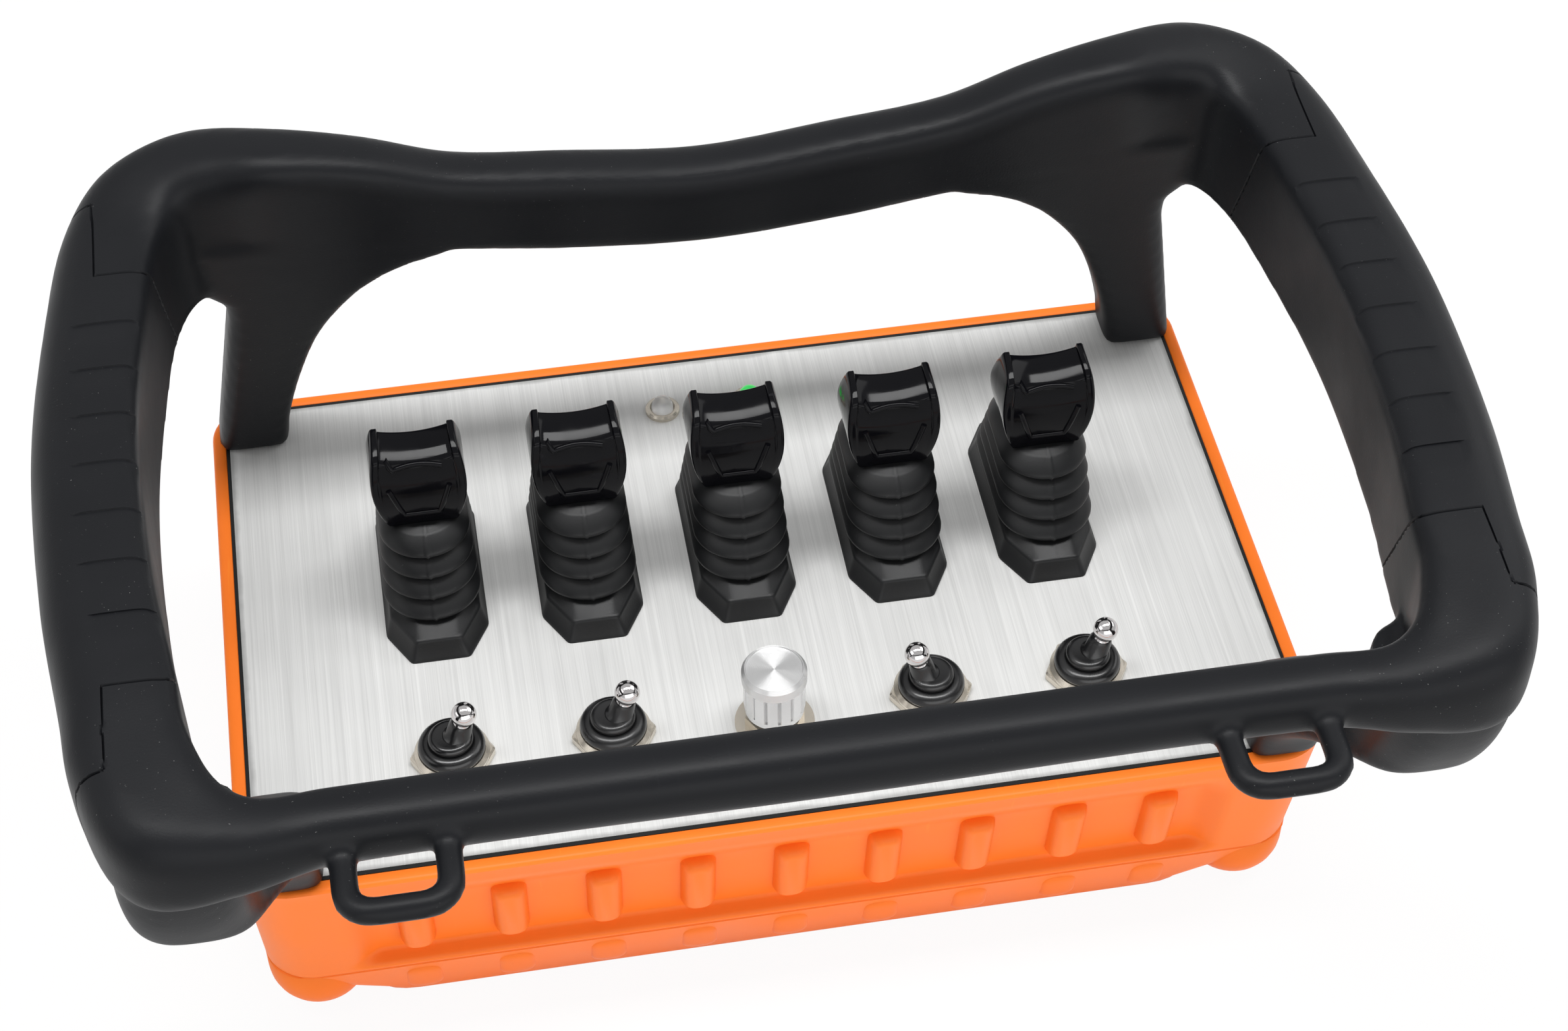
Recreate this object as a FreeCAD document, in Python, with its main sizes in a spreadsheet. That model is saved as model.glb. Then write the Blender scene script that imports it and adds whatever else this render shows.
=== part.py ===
"""Crane radio remote control, a parametric model in millimetres.

The base rests on z = 0 with the panel centred on the origin. +X is to the operator's right,
+Y points away from the operator and +Z is up. Every driving size is a cell of the sheet.
"""
import FreeCAD
import Part
import Sketcher
import math
import os
import re

SIZES = {
    # housing shells, heights above the resting surface
    "panel_top": 60.0,
    "side_draft": 1.25,
    "front_draft": 8.5,
    "housing_depth": 157.0,
    "housing_corner": 12.0,
    "parting_height": 16.5,
    "tray_end_slope": 21.0,
    "tray_front_slope": 4.0,
    "floor_thickness": 3.0,
    "column_width": 24.25,
    "bumper_round": 9.0,
    # inside of the shells
    "cavity_half_width": 116.0,
    "side_wall": 8.25,
    "front_wall_top": 9.0,
    "front_wall_low": 7.5,
    "cavity_chamfer": 20.0,
    "tray_wall_end": 8.0,
    "tray_wall_front": 5.0,
    # ribbed recess in the front and rear faces
    "recess_depth": 4.0,
    "recess_low": 18.5,
    "recess_high": 51.0,
    "rib_pitch": 21.75,
    "rib_low": 22.0,
    "rib_width": 7.8,
    "rib_top": 45.0,
    "rib_inset": 0.5,
    "tray_rib_low": 5.0,
    "tray_rib_high": 13.0,
    "tray_rib_proud": 1.0,
    # control panel and gasket
    "panel_chamfer": 6.0,
    "rim_side": 4.25,
    "rim_front": 4.5,
    "panel_thickness": 2.0,
    "gasket_thickness": 1.0,
    "panel_gap": 0.5,
    # paddle levers
    "lever_pitch": 36.96,
    "lever_row": 11.3,
    "pivot_depth": 14.0,
    "slot_width": 16.0,
    "slot_length": 30.0,
    "rod_diameter": 6.0,
    "rod_socket": 14.5,
    "hub_diameter": 12.0,
    "hub_width": 10.0,
    "pin_diameter": 4.0,
    "pin_clearance": 0.05,
    "bracket_width": 25.0,
    "bracket_length": 28.0,
    "bracket_wall": 3.0,
    "bracket_floor_drop": 18.0,
    "spring_diameter": 8.4,
    "spring_wire": 1.9,
    "running_gap": 0.3,
    "snug_gap": 0.02,
    # lever boot
    "foot_width": 23.2,
    "foot_length": 54.0,
    "foot_chamfer_x": 5.2,
    "foot_chamfer_y": 9.3,
    "foot_height": 5.8,
    "foot_draft": 1.1,
    "boot_skin": 1.6,
    "boot_low": 8.2,
    "boot_half_length_low": 22.6,
    "boot_half_length_high": 15.4,
    "boot_half_width_low": 10.6,
    "boot_half_width_high": 9.2,
    "boot_pleat": 4.5,
    "boot_pleat_depth": 2.2,
    "boot_collar": 2.0,
    # lever knob
    "knob_height": 21.7,
    "knob_width_low": 16.0,
    "knob_width_mid": 22.0,
    "knob_width_top": 19.6,
    "knob_front": 9.6,
    "knob_rear": 7.4,
    "knob_top_front": 6.9,
    "knob_top_rear": 1.2,
    "knob_ridge": 2.0,
    "knob_dip": 1.5,
    "knob_round": 3.0,
    # toggle switches
    "toggle_lean": 15.0,
    "toggle_margin": 28.0,
    "toggle_bush_diameter": 11.9,
    "toggle_hole_diameter": 12.2,
    "toggle_bush_drop": 0.6,
    "toggle_pivot": 1.5,
    "toggle_pivot_ball": 5.0,
    "toggle_pivot_bore": 5.2,
    "toggle_flare_inset": 0.2,
    "toggle_rod_diameter": 3.2,
    "toggle_tail": 6.0,
    "toggle_ball_diameter": 5.8,
    "toggle_reach": 14.0,
    "toggle_skirt": 4.6,
    "toggle_skirt_height": 2.0,
    "toggle_skirt_taper": 0.6,
    "toggle_skirt_drop": 1.0,
    "toggle_case_length": 13.0,
    "toggle_case_width": 16.0,
    "toggle_case_height": 22.0,
    "toggle_case_wall": 2.0,
    "toggle_hex": 17.0,
    "toggle_hex_height": 3.4,
    "toggle_collar_diameter": 16.6,
    "toggle_collar_top": 5.6,
    "toggle_collar_bevel": 0.8,
    "boot_ring_diameter": 14.2,
    "boot_ring_height": 2.6,
    "boot_inner_ring": 10.4,
    "boot_dome": 4.6,
    "boot_wall": 1.2,
    "boot_neck_diameter": 6.6,
    "boot_neck_flare": 0.8,
    "terminal_width": 5.0,
    "terminal_depth": 0.8,
    "terminal_drop": 6.0,
    "terminal_pitch": 4.6,
    # rotary knob and its potentiometer
    "dial_skirt": 2.2,
    "dial_margin": 26.0,
    "dial_lift": 1.0,
    "dial_skirt_diameter": 13.4,
    "dial_barrel": 9.2,
    "dial_barrel_diameter": 14.2,
    "dial_facets": 16,
    "dial_cap_diameter": 15.0,
    "dial_cap_height": 3.6,
    "dial_cap_bevel": 0.9,
    "dial_disc_dip": 0.3,
    "dial_shaft_diameter": 6.0,
    "dial_shaft_clearance": 0.06,
    "dial_shaft_depth": 7.0,
    "dial_socket_roof": 1.6,
    "dial_bush_diameter": 7.0,
    "dial_bush_proud": 0.4,
    "dial_case_diameter": 16.6,
    "dial_case_height": 10.0,
    "dial_nut": 12.0,
    "dial_nut_height": 2.4,
    "dial_washer_diameter": 18.4,
    "dial_washer_thickness": 0.8,
    # signal lamps
    "lamp_spread": 11.2,
    "lamp_margin": 17.0,
    "lamp_hole_diameter": 7.8,
    "lamp_flange_diameter": 8.6,
    "lamp_flange_height": 1.3,
    "lamp_bevel": 0.5,
    "lamp_tube_diameter": 7.5,
    "lamp_tube_depth": 14.0,
    "lens_diameter": 5.6,
    "lens_height": 2.4,
    # guard frame, heights over the panel
    "frame_low": 61.5,
    "frame_high": 95.5,
    "grip_width": 23.5,
    "grip_overhang": 17.05,
    "grip_inner_round": 4.0,
    "grip_outer_round": 10.5,
    "web_lean": 0.193,
    "web_setback": 9.2,
    "web_depth": 15.5,
    "web_round": 3.0,
    "rear_low": 61.6,
    "rear_high": 86.1,
    "hump_high": 105.4,
    "hump_inset": 44.3,
    "arch_half": 57.5,
    "arch_high": 68.5,
    "post_rim": 3.25,
    "post_width": 16.0,
    "post_taper": 5.0,
    "bar_height": 81.0,
    "bar_overhang": 45.7,
    "bar_diameter": 13.0,
    "front_corner_width": 24.0,
    "corner_inset": 14.3,
    "corner_setback": 2.2,
    "leg_foot_width": 16.0,
    "leg_foot_depth": 17.4,
    "leg_rim": 1.0,
    "leg_sink": 6.0,
    "leg_round": 3.5,
    "bulge_radius": 13.0,
    "bulge_low": 36.0,
    "bulge_round": 7.0,
    "bulge_corner": 9.0,
    "bulge_inset": 13.3,
    "bulge_setback": 17.7,
    "bulge_lean": 7.5,
    "seam_gap": 0.1,
    "seam_inset": 3.3,
    "rear_seam_outer_step": 13.8,
    "rear_seam_inner_step": 36.8,
    "front_seam_outer_step": 11.2,
    "front_seam_inner_step": 30.2,
    "loop_inner": 76.0,
    "loop_outer": 96.0,
    "loop_length": 20.4,
    "loop_drop": 1.0,
    "loop_bar": 6.0,
    "loop_bend": 5.0,
    "groove_pitch": 14.05,
    "groove_margin": 15.1,
    "groove_length": 6.5,
    "groove_width": 13.0,
    "groove_depth": 0.8,
    # fasteners
    "frame_screw_diameter": 3.9,
    "frame_screw_thread_gap": 0.05,
    "frame_screw_clear_gap": 0.2,
    "frame_screw_reach": 12.0,
    "frame_head_diameter": 7.0,
    "frame_head_height": 4.0,
    "frame_head_bore": 7.6,
    "frame_head_seat": 46.0,
    "frame_screw_inset_x": 12.0,
    "frame_screw_inset_y": 5.5,
    "small_screw_diameter": 3.0,
    "small_screw_gap": 0.1,
    "small_head_diameter": 5.5,
    "small_head_height": 2.4,
    "small_head_bore": 6.2,
    "small_head_sink": 0.4,
    "shell_boss_x": 50.0,
    "shell_boss_inset": 5.0,
    "shell_boss_radius": 4.5,
    "shell_boss_top": 36.0,
    "shell_boss_embed": 2.5,
    "shell_screw_length": 22.0,
    "shell_screw_seat": 6.0,
    # circuit board, radio module and battery
    "board_side_gap": 26.0,
    "board_edge_gap": 3.0,
    "board_thickness": 1.6,
    "board_height": 20.0,
    "board_boss_inset_x": 6.0,
    "board_boss_inset_y": 8.0,
    "board_boss_radius": 4.0,
    "board_screw_length": 8.0,
    "chip_width": 18.0,
    "chip_depth": 14.0,
    "chip_height": 2.0,
    "plug_width": 30.0,
    "plug_depth": 6.0,
    "plug_height": 3.0,
    "radio_width": 42.0,
    "radio_depth": 26.0,
    "radio_height": 3.2,
    "radio_x": -52.0,
    "radio_margin": 20.0,
    "antenna_diameter": 2.4,
    "antenna_length": 60.0,
    "battery_width": 108.0,
    "battery_depth": 54.0,
    "battery_height": 13.0,
    "battery_gap": 2.0,
    "battery_round": 6.0,
    "cover_lip": 6.0,
    "cover_thickness": 2.2,
    "cover_gap": 0.3,
    "cover_screw_y": 20.0,
    "cover_screw_length": 5.5,
    "cover_head_height": 1.2,
    "cover_boss_top": 9.0,
}

# sizes that follow others, kept in the sheet under their own names
FOLLOWING = {
    "housing_width": "2 * (cavity_half_width + side_wall)",
    "panel_width": "housing_width - 2 * rim_side",
    "panel_depth": "housing_depth - 2 * rim_front",
    "parting_width": "housing_width - 2 * side_draft",
    "parting_depth": "housing_depth - 2 * front_draft",
    "tray_width": "parting_width - 2 * tray_end_slope",
    "tray_depth": "parting_depth - 2 * tray_front_slope",
    "cavity_half_depth_top": "housing_depth / 2 - front_wall_top",
    "cavity_half_depth_low": "parting_depth / 2 - front_wall_low",
    "column_radius": "housing_corner",
    "column_x": "parting_width / 2 - column_radius",
    "column_y": "parting_depth / 2 - column_radius",
    "lamp_row": "panel_depth / 2 - lamp_margin",
    "toggle_row": "toggle_margin - panel_depth / 2",
    "dial_row": "dial_margin - panel_depth / 2",
    "boot_top": "boot_low + 4 * boot_pleat + boot_collar",
    "knob_bottom": "boot_top + running_gap",
    "rod_top": "knob_bottom + rod_socket",
    "toggle_bush_top": "toggle_collar_top - toggle_bush_drop",
    "boot_neck_reach": "toggle_reach - toggle_ball_diameter / 2 - toggle_skirt_drop - running_gap",
    "dial_bush_top": "dial_washer_thickness + dial_nut_height + dial_bush_proud",
    "dial_bottom": "dial_washer_thickness + dial_nut_height + dial_lift",
    "dial_shaft_top": "dial_bottom + dial_skirt + dial_barrel - dial_socket_roof",
    "grip_reach": "housing_width / 2 + grip_overhang",
    "bar_reach": "housing_depth / 2 + bar_overhang",
    "web_front": "parting_depth / 2 - web_setback",
    "hump_reach": "grip_reach - hump_inset",
    "post_outer": "housing_width / 2 - post_rim",
    "post_inner": "post_outer - post_width",
    "post_waist": "post_outer - post_taper",
    "front_corner_x": "grip_reach - corner_inset",
    "front_corner_y": "bar_reach - corner_setback",
    "leg_foot_x": "post_outer - leg_foot_width / 2",
    "leg_foot_y": "housing_depth / 2 - leg_rim - leg_foot_depth / 2",
    "bulge_x": "grip_reach - bulge_inset",
    "bulge_y": "bar_reach - bulge_setback",
    "seam_step": "grip_reach - seam_inset",
    "seam_rear_outer": "web_front - rear_seam_outer_step",
    "seam_rear_inner": "web_front - rear_seam_inner_step",
    "seam_front_outer": "bar_reach - front_seam_outer_step",
    "seam_front_inner": "bar_reach - front_seam_inner_step",
    "loop_reach": "bar_reach + loop_length",
    "loop_height": "bar_height - loop_drop",
    "groove_first": "seam_rear_inner - groove_margin",
    "frame_screw_x": "parting_width / 2 - frame_screw_inset_x",
    "frame_screw_rear": "parting_depth / 2 - frame_screw_inset_y",
    "frame_screw_front": "parting_depth / 2 - frame_screw_inset_y",
    "shell_boss_y": "cavity_half_depth_low - shell_boss_inset",
    "board_width": "2 * (cavity_half_width - board_side_gap)",
    "board_depth": "2 * (shell_boss_y - shell_boss_radius - board_edge_gap)",
    "radio_y": "board_depth / 2 - radio_margin",
    "board_boss_x": "board_width / 2 - board_boss_inset_x",
    "board_boss_y": "board_depth / 2 - board_boss_inset_y",
    "cover_screw_x": "battery_width / 2 + battery_gap + cover_lip / 2",
}

LEVER_COUNT = 5
TOGGLE_PLACES = (-2, -1, 1, 2)
TOGGLE_LEANS = (1, 1, -1, 1)
GROOVE_COUNT = 7
RIB_COUNT = 9
ROUND_STEPS = 3
ROUND_BAR = 0.95
OVAL_FLATS = 20
PLEAT_COUNT = 4
# height and reach of the arch's edge as shares of its height and of the way to the post
ARCH_COURSE = (
    (0, 1), (0.15, 0.97), (0.4, 0.85), (0.64, 0.69), (0.83, 0.47), (0.94, 0.25), (1.02, 0), (1.15, 0),
)
WAIST_SHARE = 0.88
# height of the leg's sections as a share of the bulge's underside, then the shares of the way from
# the foot to the bulge for the middle, the front face and the rear face
LEG_COURSE = (
    (0, 0, 0, 0), (0.38, 0.02, 0.14, 0.02), (0.78, 0.3, 0.46, 0.4), (1.0, 0.62, 0.72, 0.68),
)
SIDES = (-1, 1)

doc = FreeCAD.newDocument("crane_remote")
sheet = doc.addObject("Spreadsheet::Sheet", "sizes")
for row, (alias, number) in enumerate(SIZES.items(), 1):
    sheet.set(f"A{row}", alias)
    sheet.set(f"B{row}", str(number))
    sheet.setAlias(f"B{row}", alias)
for row, (alias, rule) in enumerate(FOLLOWING.items(), len(SIZES) + 1):
    sheet.set(f"A{row}", alias)
    sheet.setAlias(f"B{row}", alias)
    sheet.set(f"B{row}", "=" + rule)
doc.recompute()

nodes = []


def size(alias):
    """Return the number in the sheet under this alias."""
    return float(sheet.get(alias))


def formula(text):
    """Return an expression in which each alias is read from the sheet."""
    return re.sub(r"[a-z][a-z_]*", lambda word: "sizes." + word.group(0), str(text))


def bind(thing, **formulas):
    """Drive properties of an object by formulas; a double underscore stands for a dot."""
    for name, text in formulas.items():
        thing.setExpression(name.replace("__", "."), formula(text))
    return thing


def place(thing, x="0", y="0", z="0"):
    """Drive the position of an object."""
    return bind(thing, Placement__Base__x=x, Placement__Base__y=y, Placement__Base__z=z)


def node(thing, label):
    """Give an object the label of its piece and list it for export."""
    thing.Label = label
    nodes.append(thing)
    return thing


def turn(thing, axis, degrees):
    """Rotate an object about an axis through its own origin."""
    rotation = FreeCAD.Rotation(FreeCAD.Vector(*axis), degrees)
    thing.Placement = FreeCAD.Placement(FreeCAD.Vector(), rotation)
    return thing


def cylinder(x, y, z, diameter, height, axis="z"):
    """Make a cylinder from a point upward, or centred on the point along X."""
    thing = doc.addObject("Part::Cylinder", "cylinder")
    bind(thing, Radius=f"({diameter}) / 2", Height=height)
    if axis == "x":
        turn(thing, (0, 1, 0), 90)
        return place(thing, f"({x}) - ({height}) / 2", y, z)
    return place(thing, x, y, z)


def cone(x, y, z, low, high, height):
    """Make an upright cone between two diameters."""
    thing = doc.addObject("Part::Cone", "cone")
    bind(thing, Radius1=f"({low}) / 2", Radius2=f"({high}) / 2", Height=height)
    return place(thing, x, y, z)


def box(x, y, z, length, width, height):
    """Make a box centred on x and y that stands on z."""
    thing = doc.addObject("Part::Box", "box")
    bind(thing, Length=length, Width=width, Height=height)
    return place(thing, f"({x}) - ({length}) / 2", f"({y}) - ({width}) / 2", z)


def hexagon(x, y, z, across, height):
    """Make a hexagonal prism from its size across flats."""
    thing = doc.addObject("Part::Prism", "hexagon")
    thing.Polygon = 6
    bind(thing, Circumradius=f"({across}) / {math.sqrt(3)}", Height=height)
    return place(thing, x, y, z)


def fuse(*pieces):
    """Join pieces into one solid."""
    thing = doc.addObject("Part::MultiFuse", "joined")
    thing.Shapes = list(pieces)
    thing.Refine = True
    return thing


def cut(base, *tools):
    """Take one or more tools away from a base."""
    thing = doc.addObject("Part::Cut", "cut")
    thing.Base = base
    thing.Tool = tools[0] if len(tools) == 1 else fuse(*tools)
    thing.Refine = True
    return thing


def group(*pieces):
    """Hold separate pieces as one compound."""
    thing = doc.addObject("Part::Compound", "group")
    thing.Links = list(pieces)
    return thing


def copy_at(master, label, x):
    """Place a copy of a finished piece along X under its own label."""
    doc.recompute()
    thing = doc.addObject("Part::Feature", label)
    thing.Shape = master.Shape.copy()
    bind(thing, Placement__Base__x=x)
    return node(thing, label)


def origin_part(body, role):
    """Return the origin plane or axis of a body by its role."""
    return next(part for part in body.Origin.OriginFeatures if part.Role == role)


def new_sketch(body, role, offset):
    """Start a sketch on an origin plane of the body, moved along the plane's normal."""
    sketch = body.newObject("Sketcher::SketchObject", "outline")
    sketch.AttachmentSupport = [(origin_part(body, role), "")]
    sketch.MapMode = "FlatFace"
    bind(sketch, AttachmentOffset__Base__z=offset)
    return sketch


def fix_point(sketch, edge, end, point):
    """Hold one end of an edge at a point given by two formulas."""
    for kind, text in zip(("DistanceX", "DistanceY"), point):
        index = sketch.addConstraint(Sketcher.Constraint(kind, -1, 1, edge, end, 1.0))
        sketch.setExpression(f"Constraints[{index}]", formula(text))


def draw_polygon(sketch, points):
    """Draw a closed outline with every corner held by formulas."""
    first = len(sketch.Geometry)
    count = len(points)
    angles = [2 * math.pi * index / count for index in range(count)]
    ring = [FreeCAD.Vector(math.cos(angle), math.sin(angle), 0) for angle in angles]
    for index in range(count):
        sketch.addGeometry(Part.LineSegment(ring[index], ring[(index + 1) % count]))
    for index in range(count):
        follow = first + (index + 1) % count
        sketch.addConstraint(Sketcher.Constraint("Coincident", first + index, 2, follow, 1))
    for index, point in enumerate(points):
        fix_point(sketch, first + index, 1, point)


def draw_circle(sketch, point, diameter):
    """Draw a circle held by its centre and diameter."""
    edge = sketch.addGeometry(Part.Circle(FreeCAD.Vector(), FreeCAD.Vector(0, 0, 1), 1.0))
    fix_point(sketch, edge, 3, point)
    index = sketch.addConstraint(Sketcher.Constraint("Diameter", edge, 2.0))
    sketch.setExpression(f"Constraints[{index}]", formula(diameter))


def rectangle(half_x, half_y, x="0", y="0"):
    """Return the corners of a centred rectangle as formulas."""
    signs = ((-1, -1), (1, -1), (1, 1), (-1, 1))
    return [(f"({x}) + {sx} * ({half_x})", f"({y}) + {sy} * ({half_y})") for sx, sy in signs]


def chamfered(half_x, half_y, chamfer_x, chamfer_y, x="0", y="0"):
    """Return the corners of a centred rectangle with cut corners as formulas."""
    in_x = f"(({half_x}) - ({chamfer_x}))"
    in_y = f"(({half_y}) - ({chamfer_y}))"
    out_x = f"({half_x})"
    out_y = f"({half_y})"
    steps = (
        (-1, in_x, -1, out_y), (1, in_x, -1, out_y), (1, out_x, -1, in_y), (1, out_x, 1, in_y),
        (1, in_x, 1, out_y), (-1, in_x, 1, out_y), (-1, out_x, 1, in_y), (-1, out_x, -1, in_y),
    )
    return [(f"({x}) + {sx} * {px}", f"({y}) + {sy} * {py}") for sx, px, sy, py in steps]


def rounded(half_x, half_y, radius):
    """Return a centred rectangle as formulas, each corner rounded by short flats."""
    points = []
    for quarter, (sx, sy) in enumerate(((1, 1), (-1, 1), (-1, -1), (1, -1))):
        for step in range(ROUND_STEPS + 1):
            angle = math.radians(90 * (quarter + step / ROUND_STEPS))
            across = f"{sx} * (({half_x}) - ({radius})) + {math.cos(angle):.6f} * ({radius})"
            along = f"{sy} * (({half_y}) - ({radius})) + {math.sin(angle):.6f} * ({radius})"
            points.append((across, along))
    return points


def add_feature(body, kind, sketch, length, side="One side", reverse=False):
    """Pad or pocket a sketch by a formula for its length."""
    feature = body.newObject("PartDesign::" + kind, kind.lower())
    feature.Profile = sketch
    feature.SideType = side
    feature.Reversed = reverse
    return bind(feature, Length=length)


def add_loft(body, kind, low, high):
    """Loft straight between two sketches of a body."""
    feature = body.newObject("PartDesign::" + kind, "loft")
    feature.Profile = low
    feature.Sections = [high]
    feature.Ruled = True
    return feature


def revolved(name, points, row="0"):
    """Turn an outline of radius and height about an upright axis at y = row."""
    body = doc.addObject("PartDesign::Body", name)
    sketch = new_sketch(body, "XZ_Plane", f"-({row})")
    draw_polygon(sketch, points)
    doc.recompute()
    feature = body.newObject("PartDesign::Revolution", "turned")
    feature.Profile = sketch
    feature.ReferenceAxis = (sketch, ["V_Axis"])
    feature.Angle = 360
    return body


def panel_openings():
    """Return the round openings of the panel as pairs of centre and diameter."""
    spots = [(f"{step} * lever_pitch", "toggle_row") for step in TOGGLE_PLACES]
    places = [(spot, "toggle_hole_diameter") for spot in spots]
    places.append((("0", "dial_row"), "dial_bush_diameter + 2 * small_screw_gap"))
    places += [((f"{side} * lamp_spread", "lamp_row"), "lamp_hole_diameter") for side in SIDES]
    return places + frame_screw_holes()


def frame_screw_places():
    """Return the four places of the frame screws as formulas."""
    rows = ("frame_screw_rear", "-frame_screw_front")
    return [(f"{side} * frame_screw_x", row_) for side in SIDES for row_ in rows]


def frame_screw_holes():
    """Return the clearance holes of the frame screws."""
    clear = "frame_screw_diameter + 2 * frame_screw_clear_gap"
    return [(point, clear) for point in frame_screw_places()]


def corner_places(x, y):
    """Return the four mirrored places of a point."""
    return [(f"{sx} * {x}", f"{sy} * {y}") for sx in SIDES for sy in SIDES]


def build_panel():
    """Build the brushed panel with its openings."""
    body = doc.addObject("PartDesign::Body", "panel")
    sketch = new_sketch(body, "XY_Plane", "panel_top - panel_thickness")
    corner = ("panel_chamfer", "panel_chamfer")
    draw_polygon(sketch, chamfered("panel_width / 2", "panel_depth / 2", *corner))
    add_feature(body, "Pad", sketch, "panel_thickness")
    doc.recompute()
    holes = new_sketch(body, "XY_Plane", "panel_top")
    for index in range(LEVER_COUNT):
        x = f"{index - LEVER_COUNT // 2} * lever_pitch"
        draw_polygon(holes, rectangle("slot_width / 2", "slot_length / 2", x, "lever_row"))
    for point, diameter in panel_openings():
        draw_circle(holes, point, diameter)
    add_feature(body, "Pocket", holes, "2 * panel_thickness", "Symmetric")
    node(body, "control_panel")


def build_gasket():
    """Build the flat gasket under the panel's edge."""
    body = doc.addObject("PartDesign::Body", "gasket")
    sketch = new_sketch(body, "XY_Plane", "panel_top - panel_thickness - gasket_thickness")
    outer = ("panel_width / 2", "panel_depth / 2", "panel_chamfer", "panel_chamfer")
    draw_polygon(sketch, chamfered(*outer))
    inner = ("cavity_half_width", "cavity_half_depth_top", "cavity_chamfer", "cavity_chamfer")
    draw_polygon(sketch, chamfered(*inner))
    for point, diameter in frame_screw_holes():
        draw_circle(sketch, point, diameter)
    add_feature(body, "Pad", sketch, "gasket_thickness")
    node(body, "panel_gasket")


def slant_outline(low, high, depth, proud, side):
    """Return the side outline of a cut or rib that follows the slanted housing face."""
    slope = "((housing_depth - parting_depth) / 2 / (panel_top - parting_height))"
    face = f"parting_depth / 2 + {slope} * ("
    low_face = f"({face}({low}) - parting_height))"
    high_face = f"({face}({high}) - parting_height))"
    return [
        (f"{side} * ({low_face} - ({depth}))", low), (f"{side} * ({low_face} + ({proud}))", low),
        (f"{side} * ({high_face} + ({proud}))", high), (f"{side} * ({high_face} - ({depth}))", high),
    ]


def add_ribs(body, outline, pitch_total):
    """Pad one rib at the left end of its row and repeat it along X."""
    sketch = new_sketch(body, "YZ_Plane", f"-({pitch_total}) / 2")
    draw_polygon(sketch, outline)
    rib = add_feature(body, "Pad", sketch, "rib_width", "Symmetric")
    doc.recompute()
    row_ = body.newObject("PartDesign::LinearPattern", "rib_row")
    row_.Originals = [rib]
    row_.Direction = (origin_part(body, "X_Axis"), [""])
    row_.Occurrences = RIB_COUNT
    bind(row_, Length=pitch_total)
    body.Tip = row_
    doc.recompute()


def build_upper_housing():
    """Build the upper shell: drafted block, ribbed recesses between the corners and cavity."""
    body = doc.addObject("PartDesign::Body", "upper_shell")
    low = new_sketch(body, "XY_Plane", "parting_height")
    draw_polygon(low, rounded("parting_width / 2", "parting_depth / 2", "housing_corner"))
    high = new_sketch(body, "XY_Plane", "panel_top")
    draw_polygon(high, rounded("housing_width / 2", "housing_depth / 2", "housing_corner"))
    doc.recompute()
    add_loft(body, "AdditiveLoft", low, high)
    doc.recompute()
    for side in SIDES:
        sketch = new_sketch(body, "YZ_Plane", "0")
        depth = ("recess_depth", "recess_depth")
        draw_polygon(sketch, slant_outline("recess_low", "recess_high", *depth, side))
        add_feature(body, "Pocket", sketch, "housing_width - 2 * column_width", "Symmetric")
        doc.recompute()
        rib = slant_outline("rib_low", "rib_top", "recess_depth + rib_inset", "-rib_inset", side)
        add_ribs(body, rib, f"{RIB_COUNT - 1} * rib_pitch")
    cavity_low = new_sketch(body, "XY_Plane", "parting_height")
    chamfers = ("cavity_chamfer", "cavity_chamfer")
    draw_polygon(cavity_low, chamfered("cavity_half_width", "cavity_half_depth_low", *chamfers))
    cavity_high = new_sketch(body, "XY_Plane", "panel_top")
    draw_polygon(cavity_high, chamfered("cavity_half_width", "cavity_half_depth_top", *chamfers))
    doc.recompute()
    add_loft(body, "SubtractiveLoft", cavity_low, cavity_high)
    doc.recompute()
    rebate = new_sketch(body, "XY_Plane", "panel_top")
    reach = ("panel_width / 2 + panel_gap", "panel_depth / 2 + panel_gap")
    draw_polygon(rebate, chamfered(*reach, "panel_chamfer", "panel_chamfer"))
    add_feature(body, "Pocket", rebate, "panel_thickness + gasket_thickness")
    doc.recompute()
    bosses = new_sketch(body, "XY_Plane", "parting_height")
    boss_inner = "(shell_boss_y - shell_boss_radius)"
    boss_outer = "(cavity_half_depth_low + shell_boss_embed)"
    for x, y in corner_places("shell_boss_x", f"({boss_inner} + {boss_outer}) / 2"):
        half = f"({boss_outer} - {boss_inner}) / 2"
        draw_polygon(bosses, rectangle("shell_boss_radius", half, x, y))
    add_feature(body, "Pad", bosses, "shell_boss_top - parting_height")
    doc.recompute()
    seats = [
        cylinder(x, y, "parting_height", "frame_head_bore", "frame_head_seat - parting_height")
        for x, y in frame_screw_places()
    ]
    shafts = [
        cylinder(x, y, "parting_height", hole, "panel_top")
        for (x, y), hole in frame_screw_holes()
    ]
    tip = "shell_screw_seat + shell_screw_length + small_screw_gap"
    small = "small_screw_diameter + 2 * small_screw_gap"
    threads = [
        cylinder(x, y, "parting_height", small, f"{tip} - parting_height")
        for x, y in corner_places("shell_boss_x", "shell_boss_y")
    ]
    node(cut(body, *seats, *shafts, *threads), "upper_housing")


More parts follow.
